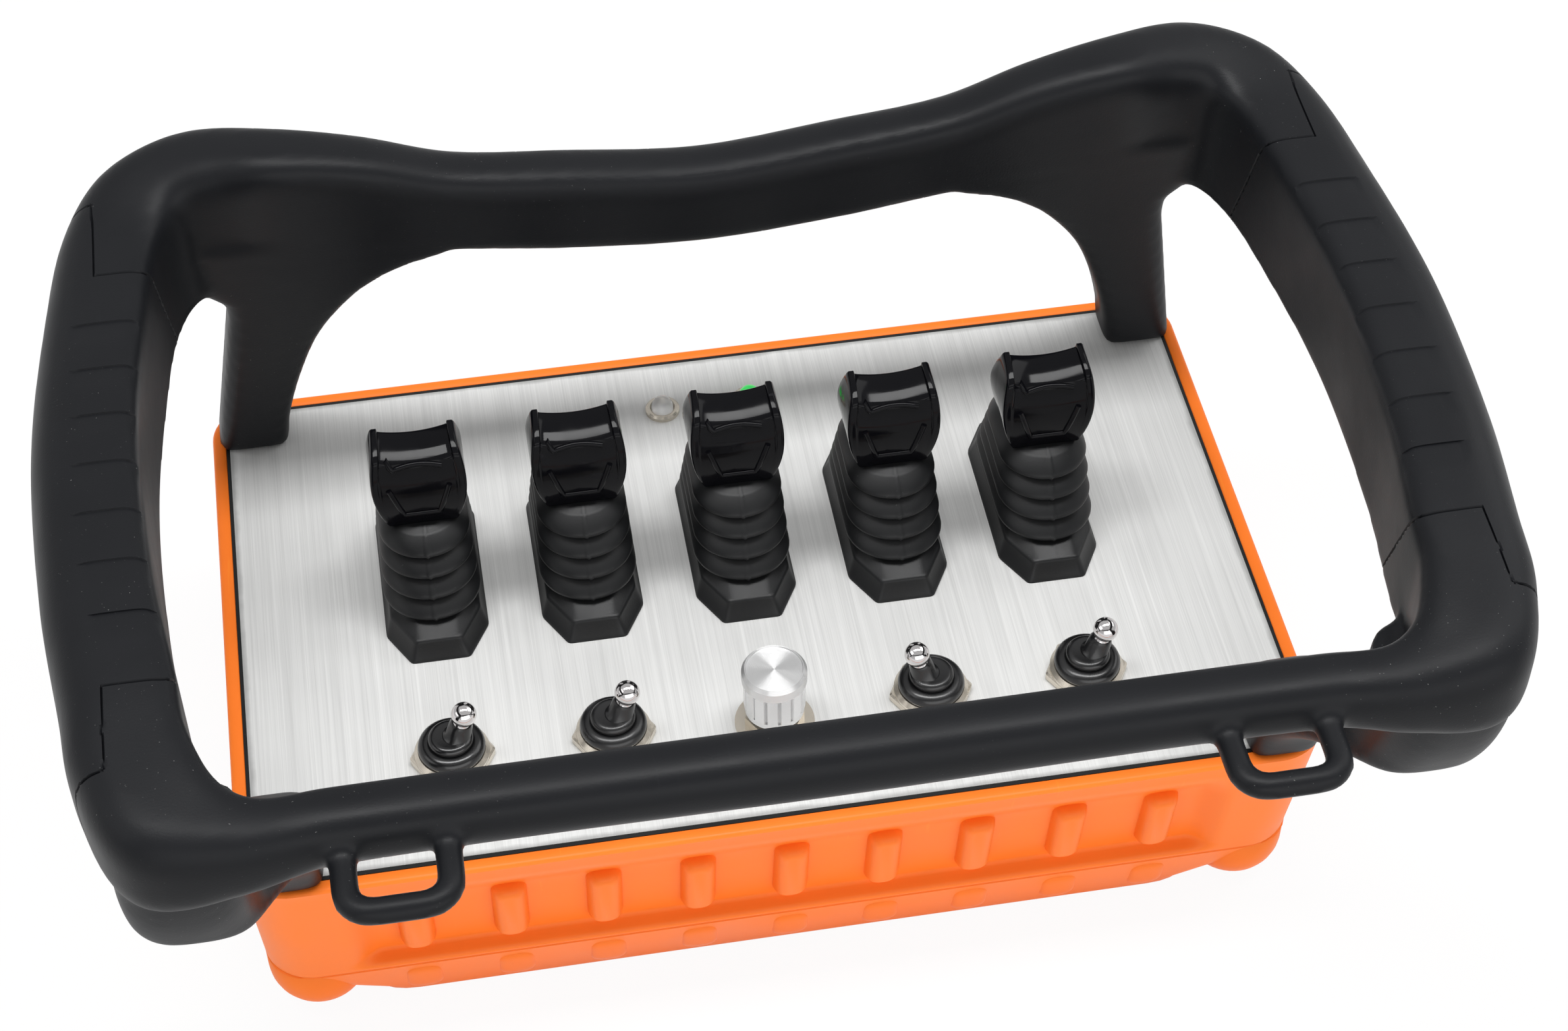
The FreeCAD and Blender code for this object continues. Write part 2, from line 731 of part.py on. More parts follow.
def build_lower_housing():
    """Build the lower shell: drafted tray, corner bumpers, bosses and battery opening."""
    body = doc.addObject("PartDesign::Body", "lower_shell")
    low = new_sketch(body, "XY_Plane", "0")
    draw_polygon(low, rounded("tray_width / 2", "tray_depth / 2", "housing_corner"))
    high = new_sketch(body, "XY_Plane", "parting_height")
    draw_polygon(high, rounded("parting_width / 2", "parting_depth / 2", "housing_corner"))
    doc.recompute()
    add_loft(body, "AdditiveLoft", low, high)
    doc.recompute()
    for side in SIDES:
        add_ribs(body, tray_rib_outline(side), f"{RIB_COUNT - 1} * rib_pitch")
    cavity_low = new_sketch(body, "XY_Plane", "floor_thickness")
    chamfers = ("cavity_chamfer", "cavity_chamfer")
    reach = ("tray_width / 2 - tray_wall_end", "tray_depth / 2 - tray_wall_front")
    draw_polygon(cavity_low, chamfered(*reach, *chamfers))
    cavity_high = new_sketch(body, "XY_Plane", "parting_height")
    draw_polygon(cavity_high, chamfered("cavity_half_width", "cavity_half_depth_low", *chamfers))
    doc.recompute()
    add_loft(body, "SubtractiveLoft", cavity_low, cavity_high)
    doc.recompute()
    bumpers = build_bumpers()
    shell_posts = [
        cylinder(x, y, "0", "2 * shell_boss_radius", "parting_height")
        for x, y in corner_places("shell_boss_x", "shell_boss_y")
    ]
    board_posts = [
        cylinder(x, y, "0", "2 * board_boss_radius", "board_height")
        for x, y in corner_places("board_boss_x", "board_boss_y")
    ]
    cover_posts = [
        cylinder(x, y, "cover_thickness", "2 * board_boss_radius", "cover_boss_top - cover_thickness")
        for x, y in corner_places("cover_screw_x", "cover_screw_y")
    ]
    solid = fuse(body, *bumpers, *shell_posts, *board_posts, *cover_posts)
    small = "small_screw_diameter + 2 * small_screw_gap"
    bores = []
    for x, y in corner_places("shell_boss_x", "shell_boss_y"):
        bores.append(cylinder(x, y, "0", "small_head_bore", "shell_screw_seat"))
        bores.append(cylinder(x, y, "0", small, "2 * parting_height"))
    for x, y in corner_places("board_boss_x", "board_boss_y"):
        depth = "(board_screw_length + small_screw_gap)"
        bores.append(cylinder(x, y, f"board_height + board_thickness - {depth}", small, depth))
    for x, y in corner_places("cover_screw_x", "cover_screw_y"):
        tip = "small_head_sink + cover_head_height + cover_screw_length + small_screw_gap"
        bores.append(cylinder(x, y, "0", small, tip))
    opening = ("battery_width + 2 * battery_gap", "battery_depth + 2 * battery_gap")
    bores.append(box("0", "0", "0", *opening, "floor_thickness"))
    lip = [f"{side} + 2 * cover_lip" for side in opening]
    bores.append(box("0", "0", "0", *lip, "cover_thickness"))
    node(cut(solid, *bores), "lower_housing")


def tray_rib_outline(side):
    """Return the side outline of one small rib on the tray."""
    slope = "((parting_depth - tray_depth) / 2 / parting_height)"
    low = f"(tray_depth / 2 + {slope} * tray_rib_low)"
    high = f"(tray_depth / 2 + {slope} * tray_rib_high)"
    proud = "tray_rib_proud"
    return [
        (f"{side} * ({low} - {proud})", "tray_rib_low"),
        (f"{side} * ({low} + {proud})", "tray_rib_low"),
        (f"{side} * ({high} + {proud})", "tray_rib_high"),
        (f"{side} * ({high} - {proud})", "tray_rib_high"),
    ]


def build_bumpers():
    """Build the four corner bumpers with rounded undersides."""
    heights = (0.0, size("parting_height"))
    bumpers = []
    for sx in SIDES:
        for sy in SIDES:
            spot = (sx * size("column_x"), sy * size("column_y"))
            rounds = (size("column_radius"), size("bumper_round"))
            thing = doc.addObject("Part::Feature", "bumper")
            thing.Shape = pillar(*spot, *heights, *rounds)
            bumpers.append(thing)
    return bumpers


def pleat_oval(half_length, half_width, height):
    """Sketch one oval of the bellows as short flats, long side along Y."""
    sketch = doc.addObject("Sketcher::SketchObject", "pleat")
    points = []
    for step in range(OVAL_FLATS):
        angle = math.radians(360 * step / OVAL_FLATS)
        across = f"{math.cos(angle):.6f} * ({half_width})"
        points.append((across, f"{math.sin(angle):.6f} * ({half_length})"))
    draw_polygon(sketch, points)
    return place(sketch, "0", "lever_row", f"panel_top + {height}")


def bellows(inset):
    """Loft the pleated bellows, drawn in by an inset for its inside."""
    narrowing = "(boot_half_length_low - boot_half_length_high)"
    thinning = "(boot_half_width_low - boot_half_width_high)"
    sections = []
    for level in range(2 * PLEAT_COUNT + 1):
        share = level / (2 * PLEAT_COUNT)
        draw = f"{inset} + boot_pleat_depth" if level % 2 == 0 else inset
        length = f"boot_half_length_low - {share} * {narrowing} - ({draw})"
        width = f"boot_half_width_low - {share} * {thinning} - ({draw})"
        sections.append(pleat_oval(length, width, f"boot_low + {level} * boot_pleat / 2"))
    thing = doc.addObject("Part::Loft", "bellows")
    thing.Sections = sections
    thing.Solid = True
    thing.Ruled = True
    return thing


def foot_block(inset, height):
    """Build the octagonal foot of a lever boot."""
    body = doc.addObject("PartDesign::Body", "foot")
    sizes_ = (f"foot_width / 2 - {inset}", f"foot_length / 2 - {inset}")
    low = new_sketch(body, "XY_Plane", "panel_top")
    draw_polygon(low, chamfered(*sizes_, "foot_chamfer_x", "foot_chamfer_y", "0", "lever_row"))
    high = new_sketch(body, "XY_Plane", f"panel_top + {height}")
    tops = [f"{half} - foot_draft" for half in sizes_]
    draw_polygon(high, chamfered(*tops, "foot_chamfer_x", "foot_chamfer_y", "0", "lever_row"))
    doc.recompute()
    add_loft(body, "AdditiveLoft", low, high)
    return body


def upright(outline, height):
    """Extrude a level outline upward by a formula for its height."""
    thing = doc.addObject("Part::Extrusion", "upright")
    thing.Base = outline
    thing.Dir = (0, 0, 1)
    thing.Solid = True
    return bind(thing, LengthFwd=height)


def build_lever_boots():
    """Build the rubber boots: octagonal foot and oval bellows, hollow inside."""
    neck = ("boot_half_length_low - boot_pleat_depth", "boot_half_width_low - boot_pleat_depth")
    root = upright(pleat_oval(*neck, "foot_height"), "boot_low - foot_height")
    cap_low = f"boot_low + {PLEAT_COUNT} * boot_pleat"
    cap_wide = "2 * (boot_half_width_high - boot_pleat_depth)"
    cap = cylinder("0", "lever_row", f"panel_top + {cap_low}", cap_wide, f"boot_top - ({cap_low})")
    outside = fuse(foot_block("0", "foot_height"), root, bellows("0"), cap)
    hollow = [f"{half} - boot_skin" for half in neck]
    well = upright(pleat_oval(*hollow, "0"), "boot_low")
    throat = cylinder("0", "lever_row", "panel_top", "rod_diameter + 2 * running_gap", "boot_top")
    master = cut(outside, fuse(well, bellows("boot_skin"), throat))
    for index in range(LEVER_COUNT):
        copy_at(master, f"lever_boot_{index + 1}", f"{index - LEVER_COUNT // 2} * lever_pitch")


def rounded_wire(corners, rounds):
    """Return a closed wire through four corners, each rounded by short flats."""
    points = []
    count = len(corners)
    for index, radius in enumerate(rounds):
        here = corners[index]
        back = (corners[index - 1] - here).normalize() * radius
        ahead = (corners[(index + 1) % count] - here).normalize() * radius
        centre = here + back + ahead
        for step in range(ROUND_STEPS + 1):
            angle = math.radians(90 * step / ROUND_STEPS)
            points.append(centre - ahead * math.cos(angle) - back * math.sin(angle))
    return Part.makePolygon(points + points[:1])


def level_section(x, y, z, width, front, rear, round_):
    """Return a horizontal rounded rectangle about a point."""
    corners = [
        FreeCAD.Vector(x - width / 2, y - front, z), FreeCAD.Vector(x + width / 2, y - front, z),
        FreeCAD.Vector(x + width / 2, y + rear, z), FreeCAD.Vector(x - width / 2, y + rear, z),
    ]
    return rounded_wire(corners, [round_] * 4)


def straight_loft(wires):
    """Loft straight between neighbouring wires into a solid that faces outward."""
    solid = Part.makeLoft(wires, True, True)
    return solid.reversed() if solid.Volume < 0 else solid


def pillar(x, y, low, high, radius, drop):
    """Loft an upright post of nearly round plan with a rounded underside."""
    wires = []
    for step in range(ROUND_STEPS + 1):
        angle = math.radians(90 * step / ROUND_STEPS)
        half = radius - drop * (1 - math.sin(angle))
        z = low + drop * (1 - math.cos(angle))
        wires.append(level_section(x, y, z, 2 * half, half, half, ROUND_BAR * half))
    wires.append(level_section(x, y, high, 2 * radius, radius, radius, ROUND_BAR * radius))
    return straight_loft(wires)


def mix(first, second, share):
    """Return the number that lies a share of the way from the first to the second."""
    return first + (second - first) * share


def knob_body():
    """Loft the paddle knob and scoop its top."""
    base = size("panel_top") + size("knob_bottom")
    tall = size("knob_height")
    row_ = size("lever_row")
    low, middle, top = size("knob_width_low"), size("knob_width_mid"), size("knob_width_top")
    front, rear = size("knob_front"), size("knob_rear")
    top_front, top_rear = size("knob_top_front"), size("knob_top_rear")
    round_ = size("knob_round")
    levels = (
        (0.0, low, 0.85 * front, 0.6 * rear),
        (0.25, mix(low, middle, 0.6), 0.97 * front, 0.9 * rear),
        (0.6, middle, front, rear),
        (0.85, mix(middle, top, 0.5), mix(front, top_front, 0.4), mix(rear, top_rear, 0.5)),
        (1.0, top, top_front, top_rear),
    )
    wires = []
    for share, *spread in levels:
        wires.append(level_section(0, row_, base + share * tall, *spread, round_))
    paddle = straight_loft(wires)
    half = top / 2 - size("knob_ridge")
    dip = size("knob_dip")
    radius = (half * half + dip * dip) / (2 * dip)
    start = FreeCAD.Vector(0, row_ - 2 * front, base + tall - dip + radius)
    scoop = Part.makeCylinder(radius, 4 * front, start, FreeCAD.Vector(0, 1, 0))
    return paddle.cut(scoop)


def build_lever_knobs():
    """Build the paddle knobs with the socket for the lever rod."""
    paddle = doc.addObject("Part::Feature", "paddle")
    paddle.Shape = knob_body()
    socket = cylinder("0", "lever_row", "panel_top", "rod_diameter + 2 * snug_gap", "rod_top + snug_gap")
    master = cut(paddle, socket)
    for index in range(LEVER_COUNT):
        copy_at(master, f"lever_knob_{index + 1}", f"{index - LEVER_COUNT // 2} * lever_pitch")


def build_lever_works():
    """Build the rods, brackets, pins and springs under the panel."""
    pivot = "panel_top - pivot_depth"
    hub = cylinder("0", "lever_row", pivot, "hub_diameter", "hub_width", "x")
    rod = cylinder("0", "lever_row", pivot, "rod_diameter", "pivot_depth + rod_top")
    pin_bore = "pin_diameter + 2 * pin_clearance"
    bore = cylinder("0", "lever_row", pivot, pin_bore, "2 * hub_width", "x")
    shaft = cut(fuse(hub, rod), bore)
    tall = "pivot_depth + bracket_floor_drop - panel_thickness"
    floor = f"{pivot} - bracket_floor_drop"
    frame = box("0", "lever_row", floor, "bracket_width", "bracket_length", tall)
    inside = ("bracket_width - 2 * bracket_wall", "2 * bracket_length")
    room = box("0", "lever_row", f"{floor} + bracket_wall", *inside, tall)
    eye = cylinder("0", "lever_row", pivot, "pin_diameter + 2 * snug_gap", "2 * bracket_width", "x")
    bracket = cut(frame, room, eye)
    pins = []
    springs = []
    for index in range(LEVER_COUNT):
        x = f"{index - LEVER_COUNT // 2} * lever_pitch"
        copy_at(shaft, f"lever_shaft_{index + 1}", x)
        copy_at(bracket, f"lever_bracket_{index + 1}", x)
        pins.append(cylinder(x, "lever_row", pivot, "pin_diameter", "bracket_width", "x"))
        for side in SIDES:
            length = "(bracket_width / 2 - bracket_wall - hub_width / 2 - 2 * running_gap)"
            middle = f"{x} + {side} * (hub_width / 2 + running_gap + {length} / 2)"
            coil = cylinder(middle, "lever_row", pivot, "spring_diameter", length, "x")
            hollow = ("spring_diameter - 2 * spring_wire", f"2 * {length}")
            springs.append(cut(coil, cylinder(middle, "lever_row", pivot, *hollow, "x")))
    node(group(*pins), "lever_pins")
    node(group(*springs), "return_springs")


def leaning(thing, side):
    """Lean a toggle piece, modelled upright about the pivot, to one side."""
    holder = group(thing)
    turn(holder, (0, 1, 0), 0)
    holder.setExpression("Placement.Rotation.Axis.x", "0")
    holder.setExpression("Placement.Rotation.Axis.y", "1")
    holder.setExpression("Placement.Rotation.Axis.z", "0")
    bind(holder, Placement__Rotation__Angle=f"{side} * toggle_lean")
    return place(holder, "0", "toggle_row", "panel_top + toggle_pivot")


def toggle_stick():
    """Build the toggle lever upright about its pivot: tail, ball joint, rod, skirt and tip."""
    ball = doc.addObject("Part::Sphere", "joint")
    bind(ball, Radius="toggle_pivot_ball / 2")
    tip = doc.addObject("Part::Sphere", "tip")
    bind(tip, Radius="toggle_ball_diameter / 2")
    place(tip, "0", "0", "toggle_reach")
    rod = cylinder("0", "0", "-toggle_tail", "toggle_rod_diameter", "toggle_tail + toggle_reach")
    skirt_z = "toggle_reach - toggle_ball_diameter / 2 - toggle_skirt_drop"
    skirt_top = "toggle_skirt - toggle_skirt_taper"
    skirt = cone("0", "0", skirt_z, "toggle_skirt", skirt_top, "toggle_skirt_height")
    return fuse(ball, tip, rod, skirt)


def dome_outline():
    """Return radius and height pairs of the toggle boot's dome."""
    seat = "panel_top + toggle_collar_top"
    ring = "boot_ring_diameter / 2"
    inner = "boot_inner_ring / 2"
    neck = "boot_neck_diameter / 2"
    return [
        (f"{ring} - boot_wall", seat), (ring, seat),
        (f"{ring} + boot_wall / 6", f"{seat} + 0.5 * boot_ring_height"),
        (f"{ring} - 0.4 * boot_wall", f"{seat} + 0.9 * boot_ring_height"),
        (inner, f"{seat} + boot_ring_height"),
        (f"{inner} - boot_wall / 6", f"{seat} + 0.8 * boot_dome"),
        (neck, f"{seat} + boot_dome"),
        (f"{neck} + 0.6 * boot_wall", f"{seat} + boot_dome - boot_wall"),
        (f"{inner} - boot_wall", f"{seat} + boot_ring_height - boot_wall"),
        (f"{ring} - boot_wall", f"{seat} + 0.7 * boot_ring_height - boot_wall"),
    ]


def build_toggles():
    """Build the toggle levers, boots, bodies and boot nuts."""
    stick = toggle_stick()
    dome = revolved("dome", dome_outline(), "toggle_row")
    sticks = {}
    boots = {}
    for side in SIDES:
        sticks[side] = leaning(stick, side)
        start = "toggle_collar_top + boot_dome - 2 * boot_wall - toggle_pivot"
        flared = "boot_neck_diameter + 2 * boot_neck_flare"
        tall = f"boot_neck_reach - ({start})"
        sleeve = cone("0", "0", start, flared, "boot_neck_diameter", tall)
        throat = cylinder("0", "0", "0", "toggle_rod_diameter + 2 * running_gap", "toggle_reach")
        room = dome_room()
        boots[side] = cut(fuse(dome, leaning(sleeve, side)), leaning(throat, side), room)
    case = toggle_case()
    nuts = []
    for index, step in enumerate(TOGGLE_PLACES):
        x = f"{step} * lever_pitch"
        copy_at(sticks[TOGGLE_LEANS[index]], f"toggle_lever_{index + 1}", x)
        copy_at(boots[TOGGLE_LEANS[index]], f"toggle_boot_{index + 1}", x)
        copy_at(case, f"toggle_body_{index + 1}", x)
        nuts.append(toggle_nut(x))
    node(group(*nuts), "toggle_nuts")


def dome_room():
    """Return the room inside the toggle boot that keeps its skin even."""
    seat = "panel_top + toggle_collar_top"
    low = "boot_ring_diameter - 2 * boot_wall"
    high = "boot_inner_ring - 2 * boot_wall"
    return cone("0", "toggle_row", seat, low, high, "boot_ring_height - 0.4 * boot_wall")


def toggle_case():
    """Build the switch body: case, threaded bush, pivot bore and terminals."""
    under = "panel_top - panel_thickness"
    floor = f"{under} - toggle_case_height"
    sides = ("toggle_case_width", "toggle_case_length")
    case = box("0", "toggle_row", floor, *sides, "toggle_case_height")
    rise = "panel_thickness + toggle_bush_top"
    bush = cylinder("0", "toggle_row", under, "toggle_bush_diameter", rise)
    blades = []
    for step in (-1, 0, 1):
        spot = (f"{step} * terminal_pitch", "toggle_row", f"{floor} - terminal_drop")
        blades.append(box(*spot, "terminal_depth", "terminal_width", "terminal_drop"))
    body = fuse(case, bush, *blades)
    bore = cylinder("0", "toggle_row", under, "toggle_pivot_bore", rise)
    flare_low = "toggle_pivot_bore - 2 * toggle_flare_inset"
    flare_high = "toggle_bush_diameter - toggle_case_wall"
    waist = "panel_top + toggle_pivot"
    flare = cone("0", "toggle_row", waist, flare_low, flare_high, "toggle_bush_top - toggle_pivot")
    room_size = [f"{side} - 2 * toggle_case_wall" for side in (*sides, "toggle_case_height")]
    room = box("0", "toggle_row", f"{floor} + toggle_case_wall", *room_size)
    mouth_low = f"{under} - toggle_case_wall"
    mouth_wide = ("2 * toggle_pivot_bore", "toggle_pivot_bore")
    mouth = cone("0", "toggle_row", mouth_low, *mouth_wide, "toggle_case_wall + toggle_pivot")
    return cut(body, fuse(bore, flare, room, mouth))


def toggle_nut(x):
    """Build one boot nut: hexagon below, bevelled round collar above."""
    body = hexagon(x, "toggle_row", "panel_top", "toggle_hex", "toggle_hex_height")
    straight = "toggle_collar_top - toggle_collar_bevel - toggle_hex_height"
    collar_low = "panel_top + toggle_hex_height"
    collar = cylinder(x, "toggle_row", collar_low, "toggle_collar_diameter", straight)
    top = "panel_top + toggle_collar_top - toggle_collar_bevel"
    narrow = "toggle_collar_diameter - 2 * toggle_collar_bevel"
    bevel = cone(x, "toggle_row", top, "toggle_collar_diameter", narrow, "toggle_collar_bevel")
    thread = "toggle_bush_diameter + 2 * pin_clearance"
    bore = cylinder(x, "toggle_row", "panel_top", thread, "toggle_collar_top")
    return cut(fuse(body, collar, bevel), bore)


def build_dial():
    """Build the rotary knob, its cap, shaft, potentiometer, nut and washer."""
    top = "panel_top + dial_bottom"
    skirt = cylinder("0", "dial_row", top, "dial_skirt_diameter", "dial_skirt")
    barrel = doc.addObject("Part::Prism", "barrel")
    barrel.Polygon = int(size("dial_facets"))
    bind(barrel, Circumradius="dial_barrel_diameter / 2", Height="dial_barrel")
    place(barrel, "0", "dial_row", f"{top} + dial_skirt")
    snug = ("dial_shaft_diameter + 2 * snug_gap", "dial_shaft_top + snug_gap")
    socket = cylinder("0", "dial_row", "panel_top", *snug)
    node(cut(fuse(skirt, barrel), socket), "rotary_knob")
    cap_low = f"{top} + dial_skirt + dial_barrel"
    half = "dial_cap_diameter / 2"
    cap = [
        ("0", cap_low), (half, cap_low), (half, f"{cap_low} + dial_cap_height - dial_cap_bevel"),
        (f"{half} - dial_cap_bevel", f"{cap_low} + dial_cap_height"),
        (f"{half} - 1.6 * dial_cap_bevel", f"{cap_low} + dial_cap_height - dial_disc_dip"),
        ("0", f"{cap_low} + dial_cap_height - dial_disc_dip"),
    ]
    node(revolved("cap", cap, "dial_row"), "knob_cap")
    low = "panel_top - dial_shaft_depth"
    tall = "dial_shaft_depth + dial_shaft_top"
    node(cylinder("0", "dial_row", low, "dial_shaft_diameter", tall), "pot_shaft")
    under = "panel_top - panel_thickness"
    floor = f"{under} - dial_case_height"
    case = cylinder("0", "dial_row", floor, "dial_case_diameter", "dial_case_height")
    rise = "panel_thickness + dial_bush_top"
    bush = cylinder("0", "dial_row", under, "dial_bush_diameter", rise)
    running = ("dial_shaft_diameter + 2 * dial_shaft_clearance", "2 * dial_case_height")
    bore = cylinder("0", "dial_row", f"{low} - running_gap", *running)
    blades = []
    for step in (-1, 0, 1):
        spot = (f"{step} * terminal_pitch", "dial_row", f"{floor} - terminal_drop")
        blades.append(box(*spot, "terminal_depth", "terminal_width", "terminal_drop"))
    node(cut(fuse(case, bush, *blades), bore), "pot_body")
    thread = ("dial_bush_diameter + 2 * pin_clearance", "dial_bush_top")
    washer_size = ("dial_washer_diameter", "dial_washer_thickness")
    washer = cylinder("0", "dial_row", "panel_top", *washer_size)
    node(cut(washer, cylinder("0", "dial_row", "panel_top", *thread)), "pot_washer")
    nut_low = "panel_top + dial_washer_thickness"
    nut = hexagon("0", "dial_row", nut_low, "dial_nut", "dial_nut_height")
    node(cut(nut, cylinder("0", "dial_row", "panel_top", *thread)), "pot_nut")


def build_lamps():
    """Build the two lamp bezels with their tubes and the two lenses."""
    bezels = []
    wide = "lamp_flange_diameter"
    rise = "lamp_flange_height - lamp_bevel"
    low = "panel_top - lamp_tube_depth / 2"
    for side in SIDES:
        x = f"{side} * lamp_spread"
        flange = cylinder(x, "lamp_row", "panel_top", wide, rise)
        narrow = f"{wide} - 2 * lamp_bevel"
        bevel = cone(x, "lamp_row", f"panel_top + {rise}", wide, narrow, "lamp_bevel")
        foot = "panel_top - lamp_tube_depth"
        tube = cylinder(x, "lamp_row", foot, "lamp_tube_diameter", "lamp_tube_depth")
        bore = cylinder(x, "lamp_row", low, "lens_diameter + 2 * snug_gap", "lamp_tube_depth")
        bezels.append(cut(fuse(flange, bevel, tube), bore))
    node(group(*bezels), "lamp_bezels")
    half = "lens_diameter / 2"
    rim = "panel_top + lamp_flange_height"
    lens = [
        ("0", low), (half, low), (half, rim),
        (f"0.8 * {half}", f"{rim} + 0.6 * (lens_height - lamp_flange_height)"),
        (f"0.4 * {half}", "panel_top + lens_height"), ("0", "panel_top + lens_height"),
    ]
    master = revolved("lens", lens, "lamp_row")
    copy_at(master, "clear_lens", "-lamp_spread")
    copy_at(master, "green_lens", "lamp_spread")


def ring_stations():
    """Return the right half of the ring as x, y, outward angle, width, low, high and lean.

    The bends beside the rear handle and at the front corner are placed by shares of the widths
    of the grip and of the bar.
    """
    low, high = size("frame_low"), size("frame_high")
    wide, reach = size("grip_width"), size("grip_reach")
    deep, lean, front = size("web_depth"), size("web_lean"), size("web_front")
    hump, hump_x = size("hump_high"), size("hump_reach")
    arch, arch_x = size("arch_high"), size("arch_half")
    rear_low, rear_high = size("rear_low"), size("rear_high")
    corner_x, corner_y = size("front_corner_x"), size("front_corner_y")
    corner_wide = size("front_corner_width")
    seam = size("seam_rear_inner")
    bar_y, bar = size("bar_reach"), size("bar_diameter")
    bar_low, bar_high = size("bar_height") - bar / 2, size("bar_height") + bar / 2

    def rear(x, angle, width, bottom, top):
        """Return a station whose front face lies on the leaning plane of the rear handle."""
        middle = front - lean * (bottom + top) / 2 + width / 2
        return (x, middle, angle, width, bottom, top, lean)

    def bend(inset, back, angle, width, rise, drop):
        """Return a station of the rear bend, which falls from the hump to the grip."""
        spot = (reach - inset * wide, front - back * wide, angle, width * wide)
        return (*spot, mix(low, arch, rise), mix(high, hump, drop), drop * lean)

    def corner(x, y, angle, width, share):
        """Return a station of the front corner, which falls from the grip to the bar."""
        return (x, -y, angle, width, mix(low, bar_low, share), mix(high, bar_high, share), 0.0)

    return [
        rear(0.0, 90, deep, rear_low, rear_high),
        rear(0.56 * arch_x, 90, deep, mix(rear_low, arch, 0.4), mix(rear_high, hump, 0.2)),
        rear(arch_x, 90, deep, arch, mix(rear_high, hump, 0.4)),
        rear(0.8 * hump_x, 91, 1.06 * deep, 1.03 * arch, mix(rear_high, hump, 0.8)),
        rear(hump_x, 88, 1.2 * deep, arch, hump),
        bend(1.16, 0.16, 68, 1.0, 0.4, 0.8),
        bend(0.59, 0.33, 40, 1.02, 0.15, 0.4),
        bend(0.29, 0.84, 18, 1.01, 0.05, 0.1),
        (reach - 0.14 * wide, seam - 0.09 * wide, 9, wide, low, high, 0.0),
        (reach, -0.16 * bar_y, 0, wide, low, high, 0.0),
        corner(reach - 0.07 * wide, 0.5 * bar_y, -5, wide, 0.0),
        corner(reach - 0.23 * wide, 0.74 * bar_y, -10, mix(wide, corner_wide, 0.8), 0.06),
        corner(mix(reach, corner_x, 0.5), mix(0.74 * bar_y, corner_y, 0.47), -18, corner_wide, 0.2),
        corner(corner_x, corner_y, -45, corner_wide, 0.42),
        corner(corner_x - 0.95 * bar, bar_y + 0.13 * bar, -75, 1.1 * bar, 0.78),
        corner(corner_x - 2.05 * bar, bar_y, -90, bar, 1.0),
        corner(0.0, bar_y, -90, bar, 1.0),
    ]


def station_wire(station, side):
    """Return the rounded section of the ring at one station, mirrored for the left side."""
    x, y, angle, width, low, high, lean = station
    base = size("panel_top")
    out = FreeCAD.Vector(side * math.cos(math.radians(angle)), math.sin(math.radians(angle)), 0)
    middle = (low + high) / 2
    spots = ((-1, low), (1, low), (1, high), (-1, high))
    corners = [
        FreeCAD.Vector(side * x, y - lean * (z - middle), base + z) + out * (sign * width / 2)
        for sign, z in spots
    ]
    limit = 0.49 * min(width, high - low)
    inner = min(size("grip_inner_round"), limit)
    outer = min(size("grip_outer_round"), limit)
    if width <= size("bar_diameter") + 0.01:
        inner = limit
        outer = limit
    return rounded_wire(corners, [inner, outer, outer, inner])


def between(keys):
    """Return the stations with one smooth station added between each pair."""
    filled = [keys[0]]
    for index in range(len(keys) - 1):
        here, there = keys[index], keys[index + 1]
        before = keys[max(index - 1, 0)]
        after = keys[min(index + 2, len(keys) - 1)]
        step = math.dist(here[:2], there[:2])
        back = math.dist(before[:2], there[:2])
        ahead = math.dist(here[:2], after[:2])
        middle = []
        for spot in range(len(here)):
            leaving = (there[spot] - before[spot]) * step / back
            arriving = (after[spot] - here[spot]) * step / ahead
            middle.append((here[spot] + there[spot]) / 2 + (leaving - arriving) / 8)
        filled += [tuple(middle), there]
    return filled


def ring_solid():
    """Loft the closed ring of the guard frame in a rear part and a front part."""
    keys = ring_stations()
    split = next(index for index, item in enumerate(keys) if item[2] == 0)
    rear = between(keys[: split + 1])
    front = between(keys[split:])
    rear_wires = [station_wire(item, -1) for item in reversed(rear[1:])]
    rear_wires += [station_wire(item, 1) for item in rear]
    front_wires = [station_wire(item, 1) for item in front]
    front_wires += [station_wire(item, -1) for item in reversed(front[:-1])]
    return straight_loft(rear_wires).fuse(straight_loft(front_wires))


def web_solid(side):
    """Loft one leaning rear post, its inner face following the arch up to the rear bar."""
    lean, front, deep = size("web_lean"), size("web_front"), size("web_depth")
    arch_x, arch_z = size("arch_half"), size("arch_high")
    inner, outer, waist = size("post_inner"), size("post_outer"), size("post_waist")
    wires = []
    for share, reach in ARCH_COURSE:
        z = share * arch_z
        near = mix(arch_x, inner, reach)
        far = max(waist, mix(outer, waist, share / WAIST_SHARE))
        middle = side * (near + far) / 2
        spot = (middle, front - lean * z, size("panel_top") + z)
        wires.append(level_section(*spot, far - near, 0.0, deep, size("web_round")))
    return straight_loft(wires)


